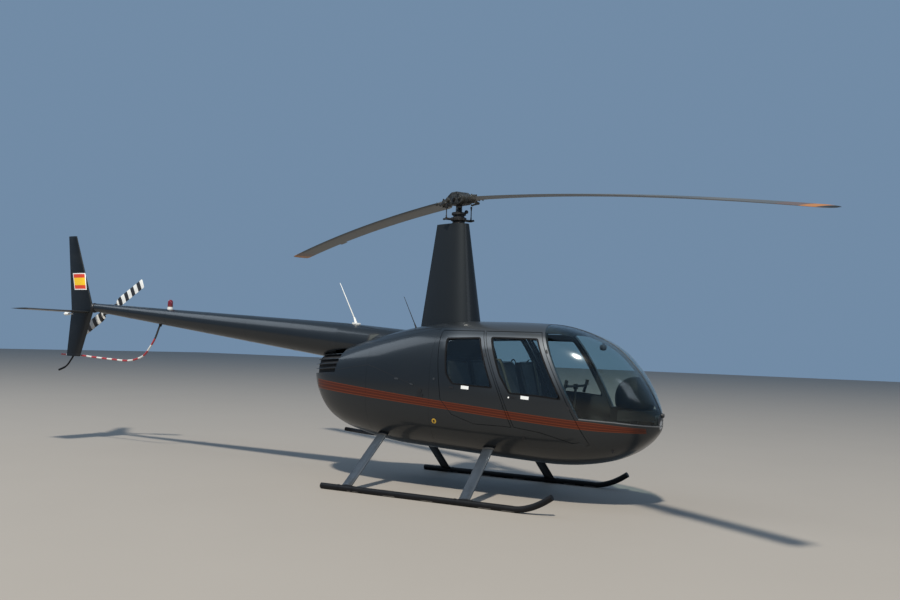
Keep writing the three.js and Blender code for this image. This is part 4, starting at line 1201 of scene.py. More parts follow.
def add_tail_rotor():
    place = Matrix.Translation(TAIL_ROTOR) @ Matrix.Rotation(TAIL_TURN, 4, "Y")
    yoke = block("tail_rotor_yoke", (-0.080, -0.018, -0.038), (0.080, 0.018, 0.038), 0.006, 3)
    with Editing(yoke) as work:
        work.pick(lambda at: abs(at.x) > 0.06)
        bpy.ops.transform.resize(value=(1, 1, 0.72), center_override=(0, 0, 0))
    yoke = cut(yoke, block("slot", (-0.022, -0.03, -0.02), (0.022, 0.03, 0.02), 0.004))
    parts = [yoke]
    parts += rods(("shaft", (0, 0.156 - TAIL_ROTOR[1], 0), (0, 0.028, 0), 0.0178, 32, 0),
        ("cap", (0, 0.0175, 0), (0, 0.030, 0), 0.0165, 6, 0.001),
        ("spider", (0, -0.070, 0), (0, -0.052, 0), 0.030, 40, 0.003))
    for side in (-1, 1):
        horn, link = (side * 0.050, -0.061, side * 0.045), (side * 0.050, -0.064, side * 0.045)
        parts += rods(("grip", (side * 0.045, 0, 0), (side * 0.0896, 0, 0), 0.0238, 36, 0.003),
            ("bolt", (side * 0.065, -0.026, 0), (side * 0.065, 0.026, 0), 0.008, 6, 0.001),
            ("horn", (side * 0.022, -0.061, side * 0.010), horn, 0.0065, 16, 0),
            ("link", link, (side * 0.072, -0.010, side * 0.038), 0.0052, 16, 0))
    hub = joined("tail_rotor_yoke", *parts)
    put(hub, place)
    dress(hub, "steel", "tail_rotor_hub", body="tail_rotor")

    half = 0.139 / 2
    for number, side in ((1, 1), (2, -1)):
        rows = [((side * r, 0.008, side * half * wide), (side * r, -0.008, -side * half * wide),
            thick) for r, wide, thick in ((0.150, 0.66, 0.020), (0.180, 0.86, 0.018),
            (0.220, 1.0, 0.0145), (0.400, 1.0, 0.014), (0.580, 1.0, 0.014), (0.720, 1.0, 0.013),
            (0.732, 0.95, 0.010), (0.737, 0.82, 0.006))]
        skin = winged("skin", rows, (0, 1, 0), around=56, along=28)
        root = turned("root", mm("0 90.2, 22.5 90.2, 23.5 94, 23.5 110, 19.5 116, 17.5 150, 10 215, "
            "0 232"), (0, 0, 0), (side, 0, 0), 36)
        blade = joined(f"tail_rotor_blade_skin_{number}", skin, root)
        put(blade, place)
        dress(blade, "tail_blade", f"tail_rotor_blade_{number}", body="tail_rotor")


def tail_blade_paint(name):
    """White with four black bands, the root dark."""
    paint = Paint(name, Coat_Weight=0.3, Coat_Roughness=0.2)
    x, y, z, point = paint.place()
    across, up = x - TAIL_ROTOR[0], z - TAIL_Z
    r = (across * across + up * up) ** 0.5
    grime = paint.noise(point, 18.0, 4.0)
    dark = 1 - r.ease(0.155, 0.165)
    for middle in (0.230, 0.370, 0.510, 0.650):
        dark = dark.most(abs(r - middle) < 0.035)
    base = paint.mix(dark, (0.74, 0.74, 0.72), (0.018, 0.018, 0.02))
    base = paint.mix(grime.ease(0.55, 0.85) * 0.3, base, (0.2, 0.18, 0.16))
    return paint.done(base, 0.35 + 0.2 * grime, grime * 0.0004, 0.4)


# The flag's edges; front and back are those of its top, and lean is their shift per metre down.
FLAG = dict(top=2.442, low=2.200, front=-6.131, back=-6.392, lean=0.262)


def fin_paint(name):
    """The fins' paint, with three bands of colour in a white border on the right-hand side."""
    paint = Paint(name, Coat_Weight=0.35, Coat_Roughness=0.12, Specular_IOR_Level=0.3)
    x, y, z, point = paint.place()
    flake, cloud = paint.noise(point, 900.0, 1.0), paint.noise(point, 4.0, 4.0)
    base = paint.mix(flake * 0.5, tuple(c * 0.35 for c in CHARCOAL), tuple(c * 0.6 for c in CHARCOAL))
    base = paint.mix(cloud.ease(0.5, 0.8) * 0.12, base, (0.10, 0.10, 0.10))
    down = FLAG["top"] - z
    across = x - down * FLAG["lean"]
    height, edge = FLAG["top"] - FLAG["low"], 0.013
    plate = across.within(FLAG["back"], FLAG["front"]) * down.within(0.0, height) * (y < 0)
    field = across.within(FLAG["back"] + edge, FLAG["front"] - edge) * down.within(edge,
        height - edge) * (y < 0)
    quarter = (height - 2 * edge) / 4
    middle = down.within(edge + quarter, height - edge - quarter)
    base = paint.mix(plate, base, (0.80, 0.78, 0.76))
    base = paint.mix(field, base, (0.62, 0.055, 0.02))
    base = paint.mix(field * middle, base, (0.85, 0.52, 0.02))
    paint.set("Metallic", 0.4 - 0.4 * plate)
    ripple = paint.noise(point, 5.0, 2.0)
    rivets = 0.0
    for at in (1.30, 1.62, 2.14, 2.52, 2.90):
        rivets = rivets + (abs(z - at) + abs((x * 40.0).remainder(1.0) - 0.5) * 0.02 < 0.0042)
    return paint.done(base, 0.30 + 0.18 * cloud, ripple * 0.0015 + rivets * 0.0012, 0.35)


# Landing gear

SKID_Y, SKID_RADIUS = 1.078, 0.031
SKID_REAR, SKID_FRONT, SKID_TOE, SKID_RISE = -0.965, 1.33, 1.69, 0.15
LEGS = {"front": (0.760, 0.718, 0.585), "rear": (-0.645, -0.627, 0.583)}  # x at foot and top, height


def add_landing_gear():
    for name, side in SIDES:
        y, z = side * SKID_Y, SKID_RADIUS
        bend = SKID_TOE - SKID_FRONT
        route = [(SKID_REAR, y, z), (SKID_REAR + 0.6, y, z), (0.2, y, z), (SKID_FRONT - 0.06, y, z),
            (SKID_FRONT, y, z), (SKID_FRONT + 0.35 * bend, y, z + 0.18 * SKID_RISE),
            (SKID_FRONT + 0.7 * bend, y, z + 0.55 * SKID_RISE), (SKID_TOE, y, z + SKID_RISE)]
        skid = tube("skid_tube", route, SKID_RADIUS, 40, 12)
        points = points_of(skid)
        points[points[:, 2] < 0.0002, 2] = 0.0
        move_points(skid, points)
        parts = [skid]
        rear = turned("end", mm("0 0, 20 0, 27 4, 31 12, 31.2 30, 0 30"), (SKID_REAR, y, z), (1, 0, 0),
            40)
        parts.append(rear)
        for foot in (LEGS["front"][0], LEGS["rear"][0]):  # saddle clamps at the legs
            for x in (foot - 0.098, foot + 0.082):
                clamp = rod("clamp", (x - 0.011, y, z + 0.0006), (x + 0.011, y, z + 0.0006),
                    SKID_RADIUS + 0.0022, sides=48)
                parts.append(common(clamp, block("above", (x - 0.02, y - 0.05, 0.004),
                    (x + 0.02, y + 0.05, 0.2))))
        dress(joined(f"skid_tube_{name}", *parts), "skid", f"skid_{name}")
        for x in (-0.55, -0.1, 0.35, 1.0, 1.25):  # wear shoes under the tube
            shoe = rod("skid_shoe", (x - 0.07, y, z), (x + 0.07, y, z), SKID_RADIUS + 0.0012, sides=48)
            shoe = common(shoe, block("below", (x - 0.1, y - 0.024, 0.0), (x + 0.1, y + 0.024, 0.016)))
            dress(shoe, "shoe")
        # Painted light and shade: the near legs take a light, lit copy of the leg paint and the far
        # legs a dark, shaded copy.
        near = "leg_lit" if side < 0 else "leg_shaded"
        for place, (foot_x, top_x, top_z) in LEGS.items():
            def leg_body(name, grow):
                ends = ((foot_x, side * (SKID_Y + 0.002), z + 0.005), (top_x, side * 0.40, top_z))
                rows = [((x + 0.055 + grow, at, height), (x - 0.070 - grow, at, height),
                    0.040 + 2 * grow) for x, at, height in ends]
                return winged(name, rows, (0, 1, 0), around=80, along=24)

            pipe = rod("pipe", (-2, y, z), (3, y, z), SKID_RADIUS + FIT, sides=48)
            leg = cut(leg_body("leg", 0), pipe, hull("under", -FIT))
            dress(leg, near, f"leg_{place}_{name}", angle=40)
            leg.name = f"leg_strut_{place}_{name}"
            boot = common(leg_body("boot", 0.006), hull("band", -0.032))
            boot = cut(boot, leg_body("in", 0.0003), hull("out", -0.0006))
            boot.name = f"leg_boot_{place}_{name}"
            dress(boot, "rubber")
            weld = common(leg_body("weld", 0.0035),
                rod("pipe", (-2, y, z), (3, y, z), SKID_RADIUS + 0.011, sides=48))
            weld = cut(weld, rod("pipe", (-2, y, z), (3, y, z), SKID_RADIUS + 0.0005, sides=48),
                leg_body("in", 0.0002))
            weld.name = f"leg_foot_{place}_{name}"
            dress(weld, "skid")


def leg_paint(name, colour, dark):
    """The legs' paint, scuffed near the foot."""
    paint = Paint(name, Metallic=0.65, Coat_Weight=0.3, Coat_Roughness=0.2)
    x, y, z, point = paint.place()
    streak = paint.noise(point, 14.0, 4.0)
    fine = paint.noise(point, 300.0, 2.0)
    base = paint.mix(streak.ease(0.4, 0.75) * 0.6, colour, dark)
    base = paint.mix((1 - z.ease(0.06, 0.16)) * streak.ease(0.3, 0.6) * 0.7, base, (0.05, 0.048, 0.045))
    return paint.done(base, 0.24 + 0.2 * streak, fine * 0.0004, 0.4)


# Inside the cabin

ROOM_DEPTH = 0.046  # of the inner face of the cabin's wall, with a door's gap
FLOOR = 0.5602
HOOD, HOOD_REACH = (2.112, 0, 1.100), (0.205, 0.250, 0.210)
SEAT_LOW, SEAT_HIGH, BACK_TOP = 0.846, 0.950, 1.425
SEATS = {"front": (0.800, 1.310, 0.790, 0.690, 0.060, 0.500),
    "rear": (0.180, 0.660, 0.170, 0.110, 0.022, 0.520)}


def puffed(piece, most):
    """Blows a closed pad up from inside, each point moving no further than most."""
    modify(piece, "REMESH", mode="VOXEL", voxel_size=0.013)
    before = points_of(piece)
    cloth = piece.modifiers.new("cloth", "CLOTH")
    cloth.settings.quality = 4
    cloth.settings.mass = 0.3
    cloth.settings.use_pressure = True
    cloth.settings.uniform_pressure_force = 4
    cloth.settings.effector_weights.gravity = 0
    cloth.point_cache.frame_start, cloth.point_cache.frame_end = 1, 20
    for number in range(1, 21):
        bpy.context.scene.frame_set(number)
    choose(piece)
    bpy.ops.object.modifier_apply(modifier="cloth")
    step = points_of(piece) - before
    far = np.maximum(np.linalg.norm(step, axis=1), 1e-9)
    move_points(piece, before + step * np.minimum(1, most / far)[:, None])
    bpy.context.scene.frame_set(1)
    return piece


def sewn_pad(name, length, width, height, place, channels):
    """A leather pad, shaped flat as length, width and height and then put in place by a function.
    Its upper face is drawn in along channels, at shares of its length and width."""
    inset = 0.007
    pad = block(name, (inset, inset, inset), (length - inset, width - inset, height - inset), 0.024, 3)
    puffed(pad, 0.009)
    modify(pad, "SMOOTH", factor=0.5, iterations=2)
    modify(pad, "SUBSURF", levels=1, render_levels=1)
    points = points_of(pad)
    a, b, c = points.T
    rise = np.clip(1 - (2 * a / length - 1) ** 4, 0, 1) * np.clip(1 - (2 * b / width - 1) ** 4, 0, 1)
    top = np.clip(c / height * 2 - 1, 0, 1)
    lift = 0.006 * rise * top
    for along, share in channels:
        off = (a - share * length) if along else (b - share * width)
        inside = rise > 0.04
        lift = lift - 0.009 * np.exp(-((off / 0.008) ** 2)) * top * inside
    points[:, 2] = np.minimum(c + lift, height - 0.002)
    move_points(pad, np.array([place(*p) for p in points]))
    return pad


def piped(name, length, width, height, place, radius=0.0042):
    """Piping round the upper rim of a pad."""
    far, rim = 0.010, height - 0.016
    loop = rounded([(far, far), (length - far, far), (length - far, width - far), (far, width - far)],
        0.05, 4)
    return tube(name, [place(x, y, rim) for x, y in loop], radius, 8, 2, closed=True)


def add_seats():
    for kind, (start, end, back, top, low, high) in SEATS.items():
        width, tall = high - low, BACK_TOP - SEAT_HIGH

        def seated(a, b, c):
            return (start + 0.01 + a, low + b, SEAT_LOW + c)

        def upright(a, b, c):
            t = a / tall
            return (back + 0.005 - (back - top) * t + c * (1 - 0.33 * t), low + b,
                SEAT_HIGH - 0.004 + a)

        shapes = (("cushion", end - start - 0.015, SEAT_HIGH - SEAT_LOW, seated,
            ((True, 0.80), (False, 0.24), (False, 0.76))),
            ("back", tall, 0.125, upright, ((True, 0.30), (True, 0.62), (False, 0.20), (False, 0.80))))
        for part, length, height, place, channels in shapes:
            pad = sewn_pad(f"seat_{kind}_{part}_left", length, width, height, place, channels)
            rim = piped(f"seat_{kind}_{part}_piping_left", length, width, height, place)
            for piece, soft in ((pad, True), (rim, False)):
                other = mirrored(piece, piece.name.replace("left", "right"))
                for one in (piece, other):
                    dress(one, "leather" if soft else "piping", angle=50)
                    if not soft:
                        continue
                    side = one.name.split("_")[-1]
                    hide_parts(f"seat_front_{side}" if kind == "front" else "seats_rear")


def strap(name, route, across, width=0.046):
    """Flat webbing along a route, its width along a direction."""
    line = smooth_rows(np.array(route, float), np.linspace(0, 1, 8 * len(route)))
    piece = primitive("grid", name, x_subdivisions=4, y_subdivisions=len(line) - 1, size=1)
    at = points_of(piece) + 0.5
    row = np.round(at[:, 1] * (len(line) - 1)).astype(int)
    side = np.array(across, float) / np.linalg.norm(across)
    move_points(piece, line[row] + np.outer((at[:, 0] - 0.5) * width, side))
    return modify(piece, "SOLIDIFY", thickness=0.0026, offset=0)


def add_belts():
    for name, side in SIDES:
        webbing = [strap("lap", [(0.915, side * 0.485, 0.915), (0.935, side * 0.46, 0.962),
            (1.00, side * 0.40, 0.968), (1.05, side * 0.31, 0.968)], (1, side * 0.5, 0)),
            strap("lap", [(0.925, side * 0.085, 0.925), (0.945, side * 0.11, 0.962),
            (1.01, side * 0.18, 0.968), (1.05, side * 0.26, 0.968)], (1, -side * 0.5, 0)),
            strap("shoulder", [(0.700, side * 0.435, 1.32), (0.705, side * 0.432, 1.410),
            (0.742, side * 0.425, 1.440), (0.792, side * 0.415, 1.405), (0.850, side * 0.39, 1.22),
            (0.902, side * 0.36, 1.06), (0.952, side * 0.335, 0.975), (1.05, side * 0.31, 0.972)],
            (0, 1, 0.12))]
        belt = joined(f"seat_belt_{name}", *webbing)
        dress(belt, "webbing", angle=50)
        buckle = block("buckle", (1.020, side * 0.285 - 0.028, 0.966),
            (1.085, side * 0.285 + 0.028, 0.984), 0.005)
        tongue = block("tongue", (1.030, side * 0.285 - 0.020, 0.984),
            (1.060, side * 0.285 + 0.020, 0.988), 0.0015)
        dress(joined(f"belt_buckle_{name}", buckle, tongue), "steel")


def add_headset(name, x, y, z):
    """A headset that hangs behind a seat: a band, two cups and a boom."""
    band = tube("band", [(x, y - 0.078, z - 0.075), (x, y - 0.070, z - 0.02), (x, y, z + 0.03),
        (x, y + 0.070, z - 0.02), (x, y + 0.078, z - 0.075)], 0.0065, 12, 8)
    parts = [band]
    for side in (-1, 1):
        cup = turned("cup", mm("0 0, 28 1, 34 8, 36 20, 33 24, 38 27, 40 36, 32 43, 0 44"),
            (x, y + side * 0.094, z - 0.095), (0, -side, 0), 40)
        parts.append(cup)
    parts.append(tube("boom", [(x, y - 0.092, z - 0.12), (x - 0.05, y - 0.088, z - 0.15),
        (x - 0.09, y - 0.06, z - 0.16)], 0.0028, 8, 6))
    dress(joined(name, *parts), "headset", angle=45)


def add_console():
    hood = ball("instrument_hood", HOOD, HOOD_REACH, 96)
    hood = common(hood, block("room", (1.90, -0.4, 0.98), (2.4, 0.4, 1.35)), hull("room", ROOM_DEPTH))
    face = mm("1800 900, 1935 900, 1955 1150, 1985 1400, 1800 1400")
    hood = cut(hood, prism("face", face, -0.4, 0.4))
    recess = ball("recess", HOOD, [r - 0.012 for r in HOOD_REACH], 96)
    recess = common(recess, block("room", (1.90, -0.4, 0.992), (1.985, 0.4, 1.35)))
    hood = cut(hood, recess)
    deck = common(block("deck", (2.06, -0.42, 0.880), (2.44, 0.42, 0.985), 0.010),
        hull("room", ROOM_DEPTH))
    hood = joined("instrument_hood", hood, deck)
    dress(hood, "hood", "instrument_console")
    panel = ball("instrument_panel", HOOD, [r - 0.0125 for r in HOOD_REACH], 96)
    panel = common(panel, block("room", (1.976, -0.4, 0.9925), (1.984, 0.4, 1.35)))
    dress(panel, "panel")

    bezels, marks = [], []
    for number, (y, z) in enumerate([(0.076 * k, 1.030 + 0.068 * row) for row in range(3) for k in (-1,
            0, 1)]):
        at = (1.976, y, z)
        bezels.append(turned("bezel", mm("0 0, 33 0, 33 4, 31 7, 28 6, 27 3, 0 2.6"), at, (-1, 0, 0),
            48))
        for k in range(12):
            turn = math.radians(30 * k)
            long = 0.0085 if k % 3 == 0 else 0.005
            tick = block("tick", (-0.0006, -0.0008, 0.0255 - long), (0.0006, 0.0008, 0.0255))
            put(tick, Matrix.Translation((1.973, y, z)) @ Matrix.Rotation(turn, 4, "X"))
            marks.append(tick)
        needle = prism("needle", mm("-2 -6, 2 -6, 0.6 20, -0.6 20"), -0.0005, 0.0005)
        turn = Matrix.Rotation(math.radians(47 * number + 20), 4, "X")
        upright = Matrix.Rotation(math.radians(90), 4, "Z")
        put(needle, Matrix.Translation((1.972, y, z)) @ turn @ upright)
        marks.append(needle)
    dress(joined("gauge_bezels", *bezels), "gauge")
    dress(joined("gauge_marks", *marks), "white")

    box = block("console_pedestal", (1.892, -0.13, FLOOR + 0.001), (2.11, 0.13, 1.0), 0.012, 3)
    box = common(box, hull("room", ROOM_DEPTH))
    parts = [box]
    for low in (0.640, 0.720, 0.800, 0.880):
        parts.append(block("unit", (1.884, -0.085, low), (1.894, 0.085, low + 0.066), 0.003))
        for y in (-0.066, 0.066):
            parts.append(turned("knob", mm("0 0, 10 0, 10 4, 8.5 6, 8 15, 6 17, 0 17"),
                (1.884, y, low + 0.033), (-1, 0, 0), 28))
        for k in range(5):
            y = -0.034 + 0.017 * k
            parts.append(block("key", (1.8815, y - 0.006, low + 0.010),
                (1.8845, y + 0.006, low + 0.019), 0.001))
        parts.append(block("window", (1.8825, -0.040, low + 0.028), (1.8845, 0.040, low + 0.054),
            0.0008))
    dress(joined("console_pedestal", *parts), "panel", "instrument_console")


def add_controls():
    boot = turned("boot", mm("0 0, 58 0, 58 6, 48 10, 50 18, 40 26, 42 34, 32 44, 34 52, 24 64, 20 80, "
        "0 81"), (1.44, 0, FLOOR + 0.0008), (0, 0, 1), 48)
    stick = rod("stick", (1.44, 0, 0.62), (1.465, 0, 1.165), 0.0155, 0.0140, 32)
    joint = block("joint", (1.445, -0.022, 1.152), (1.485, 0.022, 1.208), 0.008, 3)
    bar = rod("bar", (1.465, -0.292, 1.185), (1.465, 0.292, 1.185), 0.0125, sides=32)
    parts = [boot, stick, joint, bar]
    for side in (-1, 1):
        parts.append(rod("collar", (1.465, side * 0.245, 1.185), (1.465, side * 0.268, 1.185), 0.0155,
            sides=32, edge=0.002))
        low, high = Vector((1.4435, side * 0.29, 1.115)), Vector((1.4855, side * 0.29, 1.252))
        grip = turned("grip", mm("0 0, 13 1, 16.5 6, 17 20, 15 38, 16.5 52, 15 66, 16.5 80, 15.5 96, "
            "18 114, 18.5 130, 15 141, 0 143.3"), low, high - low, 36)
        parts.append(grip)
        parts += rods(("trigger", (1.489, side * 0.29, 1.206), (1.503, side * 0.29, 1.200), 0.0050, 16,
            0.001), ("button", (1.470, side * 0.29 - 0.005, 1.243), (1.466, side * 0.29 - 0.005, 1.251),
            0.0045, 16, 0.001))
    dress(joined("cyclic_stick_bar", *parts), "hood", "cyclic_stick", angle=40)

    lever = rod("lever", (0.84, 0, 0.655), (1.20, 0, 0.812), 0.0125, sides=28)
    grip = turned("grip", mm("0 0, 16.5 0, 18 6, 18 115, 15 122, 0 123"), (1.16, 0, 0.7945),
        (0.36, 0, 0.157), 32)
    bracket = block("bracket", (0.81, -0.028, FLOOR), (0.88, 0.028, 0.69), 0.008, 3)
    dress(joined("collective_lever", lever, grip, bracket), "hood")

    pedals = []
    for y in (-0.345, -0.225, 0.225, 0.345):
        pedals.append(rod("arm", (2.010, y, FLOOR), (1.995, y, 0.700), 0.0085, sides=20))
        pad = block("pad", (1.974, y - 0.036, 0.655), (1.990, y + 0.036, 0.735), 0.005, 2)
        pedals.append(pad)
        for k in range(5):
            z = 0.667 + 0.014 * k
            pedals.append(block("rib", (1.9715, y - 0.031, z - 0.003), (1.9745, y + 0.031, z + 0.003),
                0.001))
    pedals.append(rod("rail", (2.012, -0.36, 0.580), (2.012, 0.36, 0.580), 0.010, sides=20))
    dress(joined("pedals", *pedals), "worn_black")

    case = turned("case", mm("0 0, 20 0, 28 6, 32 18, 32 40, 27 52, 16 58, 0 59"), (1.788, 0, 1.597),
        (-1, 0, 0), 40)
    stalk = block("stalk", (1.750, -0.007, 1.600), (1.770, 0.007, 1.648), 0.003)
    bezel = turned("bezel", mm("22 57, 26 54.5, 26 60, 22 61, 22 57"), (1.788, 0, 1.597), (-1, 0, 0),
        40)
    dress(joined("compass", case, stalk, bezel), "hood")

    header = cut(hull("header_band", 0.0115), hull("in", 0.030))
    header = common(header, prism("shape", mm("1180 1950, 1285 1725, 1420 1715, 1560 1695, 1600 1950")))
    dress(header, "header")
    for name, side in SIDES:
        mat = block("mat", (1.352, side * 0.285 - 0.124, 0.5675), (1.738, side * 0.285 + 0.124, 0.5700),
            0.0010, 1)
        parts = [mat]
        for k in range(19):
            x = 1.364 + 0.020 * k
            parts.append(block("rib", (x, side * 0.285 - 0.112, 0.5695),
                (x + 0.008, side * 0.285 + 0.112, 0.5725), 0.0008, 1))
        dress(joined(f"foot_mat_{name}", *parts), "rubber")
    trim = block("bulkhead_trim", (0.1005, -0.50, 1.44), (0.108, 0.50, 1.66), 0.003)
    trim = common(trim, hull("room", 0.06))
    dress(trim, "header")


def keep_nodes():
    """The CAD nodes that stay get their own finishes."""
    for name, tone in (("cabin_floor", "carpet"), ("rear_bulkhead", "lining"),
            ("engine_block", "engine"), ("exhaust_pipe", "exhaust"), ("landing_lamp", "lamp"),
            ("pitot_tube", "worn_black")):
        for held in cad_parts[name].material_slots:
            held.material = FINISH[tone]


# Small fittings on the skin


def skin_plate(shell, name, outline, side, tone, body="airframe"):
    """A thin plate that follows a shell of the skin inside an outline in the side view."""
    plate = common(twin(shell, name), prism("shape", outline, *flank(side, 0.02)))
    return dress(plate, tone, body=body, angle=40)


def disc(x, z, radius, steps=20):
    return [(x + radius * math.cos(2 * math.pi * k / steps),
        z + radius * math.sin(2 * math.pi * k / steps)) for k in range(steps)]


def oval(x, z, long, high, turn=0.0):
    """A slot shape with round ends, turned by an angle in degrees."""
    c, s = math.cos(math.radians(turn)), math.sin(math.radians(turn))
    r = high / 2
    out = []
    for end in (1, -1):
        for k in range(9):
            angle = math.radians(-90 + 180 * k / 8) + (0 if end > 0 else math.pi)
            a, b = end * (long / 2 - r) + r * math.cos(angle), r * math.sin(angle)
            out.append((x + a * c - b * s, z + a * s + b * c))
    return out


def ribbon(points, width):
    """An outline along a line of points."""
    line = np.array(points, float)
    way = np.gradient(line, axis=0)
    way /= np.linalg.norm(way, axis=1)[:, None]
    out = np.stack([-way[:, 1], way[:, 0]], 1) * width / 2
    return [tuple(p) for p in np.concatenate([line + out, (line - out)[::-1]])]


COWL_SEAM = mm("-1275 1246, -1020 1287, -775 1322, -699 1306, -364 1203, -130 1125, 50 1072")


def add_fittings():
    thin = cut(hull("thin", -0.0010), hull("in", 0.004))
    thick = cut(hull("thick", -0.0045), hull("in", 0.004))
    for name, side in SIDES:
        front, rear = f"front_door_{name}", f"rear_door_{name}"
        plates = [("door_label_rear", thin, mm("449 1154, 539 1149, 536 1115, 447 1119"), "label",
            rear), ("door_label_front", thin, mm("1134 1084, 1222 1078, 1220 1046, 1132 1051"), "label",
            front), ("door_lock", thick, disc(1.000, 1.059, 0.0085), "label", front),
            ("door_handle_front", thick, oval(1.043, 1.066, 0.062, 0.019, -4), "worn_black", front),
            ("door_handle_rear", thick, oval(0.330, 1.128, 0.055, 0.017, -4), "worn_black", rear),
            ("hinge_leaf_front_high", thick, oval(1.368, 1.535, 0.040, 0.016, -60), "worn_black",
            front), ("hinge_leaf_front_low", thick, oval(1.632, 0.982, 0.040, 0.016, -60), "worn_black",
            front), ("hinge_leaf_rear_high", thick, oval(0.690, 1.480, 0.036, 0.014, -64), "worn_black",
            rear), ("hinge_leaf_rear_low", thick, oval(0.925, 0.955, 0.036, 0.014, -64), "worn_black",
            rear), ("filler_plate", thick, rounded(mm("-92 1046, -12 1044, -10 1012, -90 1014"), 0.008),
            "bay"), ("filler_cap", thick, disc(-0.056, 1.071, 0.027), "bay"),
            ("cowl_latch_rear", thick, oval(-0.363, 1.189, 0.050, 0.018, -4), "latch"),
            ("cowl_latch_middle", thick, oval(-0.163, 1.138, 0.042, 0.012, -14), "latch"),
            ("cowl_latch_front", thick, disc(0.117, 1.208, 0.013), "latch"),
            ("step_mark", thin, disc(0.121, 0.763, 0.027), "yellow"),
            ("jack_fitting", thick, disc(1.157, 0.653, 0.018), "worn_black"),
            ("screen_trim", thin, ribbon([(CORNER[0] + 0.012, CORNER[1] - 0.008), (2.05, 0.8655),
            (2.41, 0.826)], 0.011), "trim"), ("cowl_seam", thin, ribbon(COWL_SEAM, 0.0035), "seam")]
        for label, shell, outline, tone, *body in plates:
            skin_plate(shell, f"{label}_{name}", outline, side, tone, *body)
        skin_plate(thick, f"step_mark_hub_{name}", disc(0.121, 0.763, 0.0115), side, "bay")
    drop(thin, thick)

    inner = cone("in", FAIRING_FRONT + 0.01, CONE_JOINT - 0.01, 0.003, FAIRING_LINES)
    shell = cut(cone("scoop", FAIRING_FRONT, CONE_JOINT, -0.0012, FAIRING_LINES), inner)
    for name, side in SIDES:
        rim = mm("-1047 1571, -1033 1674, -925 1683, -925 1675, -1013 1662, -1030 1571")
        skin_plate(shell, f"scoop_rim_{name}", rim, side, "bay")
        floor = mm("-1029 1573, -1012 1661, -900 1674")
        skin_plate(shell, f"scoop_floor_{name}", floor, side, "scoop")
    drop(shell)


# Finishes of the inside and the small parts


def leather(name, colour):
    """Soft leather: pores, creases and a worn sheen on the crowns."""
    paint = Paint(name, Specular_IOR_Level=0.4, Coat_Weight=0.08, Coat_Roughness=0.4)
    point = paint.point()
    pores = paint.add("ShaderNodeTexVoronoi", dict(feature="DISTANCE_TO_EDGE"), Vector=point,
        Scale=420.0)
    crease, broad = paint.noise(point, 34.0, 5.0, 0.6), paint.noise(point, 5.0, 3.0)
    light = tuple(c * 1.9 + 0.006 for c in colour)
    return paint.done(paint.mix(broad.ease(0.4, 0.75) * 0.6, colour, light), 0.42 + 0.25 * crease,
        pores.ease(0.0, 0.12) * 0.0004 + crease * 0.0022, 0.6)


def woven(name, colour):
    """Nylon webbing: fine ribs across and along."""
    paint = Paint(name)
    x, y, z, point = paint.place()
    ribs = ((x + z) * 2400.0).sine() * ((y - z) * 1700.0).sine()
    soil = paint.noise(point, 25.0, 4.0)
    base = paint.mix(soil.ease(0.4, 0.8) * 0.5, colour, tuple(c * 0.5 for c in colour))
    return paint.done(base, 0.8, ribs * 0.0004, 0.7)


def weathered(name, colour, spots):
    """Oily, flaked metal of the rotor head: light flecks, dark stains."""
    paint = Paint(name, Specular_IOR_Level=0.5)
    point = paint.point()
    fleck, stain = paint.noise(point, 48.0, 3.0, 0.7), paint.noise(point, 16.0, 4.0)
    fine = paint.noise(point, 300.0, 2.0)
    base = paint.mix(stain.ease(0.42, 0.62), colour, tuple(c * 0.25 for c in colour))
    base = paint.mix(fleck.ease(0.58, 0.68) * 0.85, base, spots)
    paint.set("Metallic", 0.2 + 0.5 * fleck)
    return paint.done(base, 0.35 + 0.3 * stain, fine * 0.0006 + fleck * 0.0015, 0.6)


def burnt_steel(name):
    """A tailpipe's steel, brown and blue from heat, sooty at its end."""
    paint = Paint(name, Metallic=0.8)
    x, y, z, point = paint.place()
    broad, fine = paint.noise(point, 7.0, 4.0), paint.noise(point, 200.0, 2.0)
    base = paint.mix(broad.ease(0.35, 0.65), (0.060, 0.045, 0.035), (0.045, 0.055, 0.070))
    base = paint.mix(1 - x.ease(-1.58, -1.35), base, (0.012, 0.011, 0.010))
    return paint.done(base, 0.38 + 0.3 * broad, fine * 0.0005, 0.5)


# The door and door-post paints carry the painted sky reflection between the given heights.
FINISH = {"stripe": metallic_paint("door_paint", stripe=True, silver=(1.02, 1.42)),
    "roof": metallic_paint("roof_paint"), "fairing": metallic_paint("fairing_paint", coat=0.15,
    matt=0.12), "frame": metallic_paint("frame_paint", stripe=True, silver=(1.02, 1.5)),
    "cowl": metallic_paint("cowl_paint", stripe=True), "belly": metallic_paint("belly_paint"),
    "glass": clear_glass("window_glass"), "screen": clear_glass("screen_glass", share=0.012,
    rough=0.12), "clear": clear_glass("lamp_glass", tint=(0.97, 0.98, 1.0), share=0.04),
    "cone": metallic_paint("tail_cone_paint", rivets=cone_rivets), "fin": fin_paint("fin_paint"),
    "plane": metallic_paint("stabiliser_paint", colour=(0.05, 0.05, 0.05)),
    "tail_blade": tail_blade_paint("tail_blade_bands"),
    # One leg paint in two copies: light as painted light for the near legs, dark as painted shade for
    # the far ones.
    "leg_lit": leg_paint("leg_silver", (0.075, 0.088, 0.104), (0.042, 0.049, 0.057)),
    "leg_shaded": leg_paint("leg_dark", (0.020, 0.022, 0.025), (0.014, 0.014, 0.016)),
    "leather": leather("seat_leather_dark", (0.016, 0.016, 0.018)),
    "webbing": woven("belt_webbing", (0.085, 0.080, 0.060)), "exhaust": burnt_steel("exhaust_steel"),
    "cast": weathered("weathered_hub", (0.036, 0.035, 0.031), (0.24, 0.23, 0.20)),
    "head": weathered("rotor_head_black", (0.020, 0.020, 0.022), (0.10, 0.095, 0.08))}
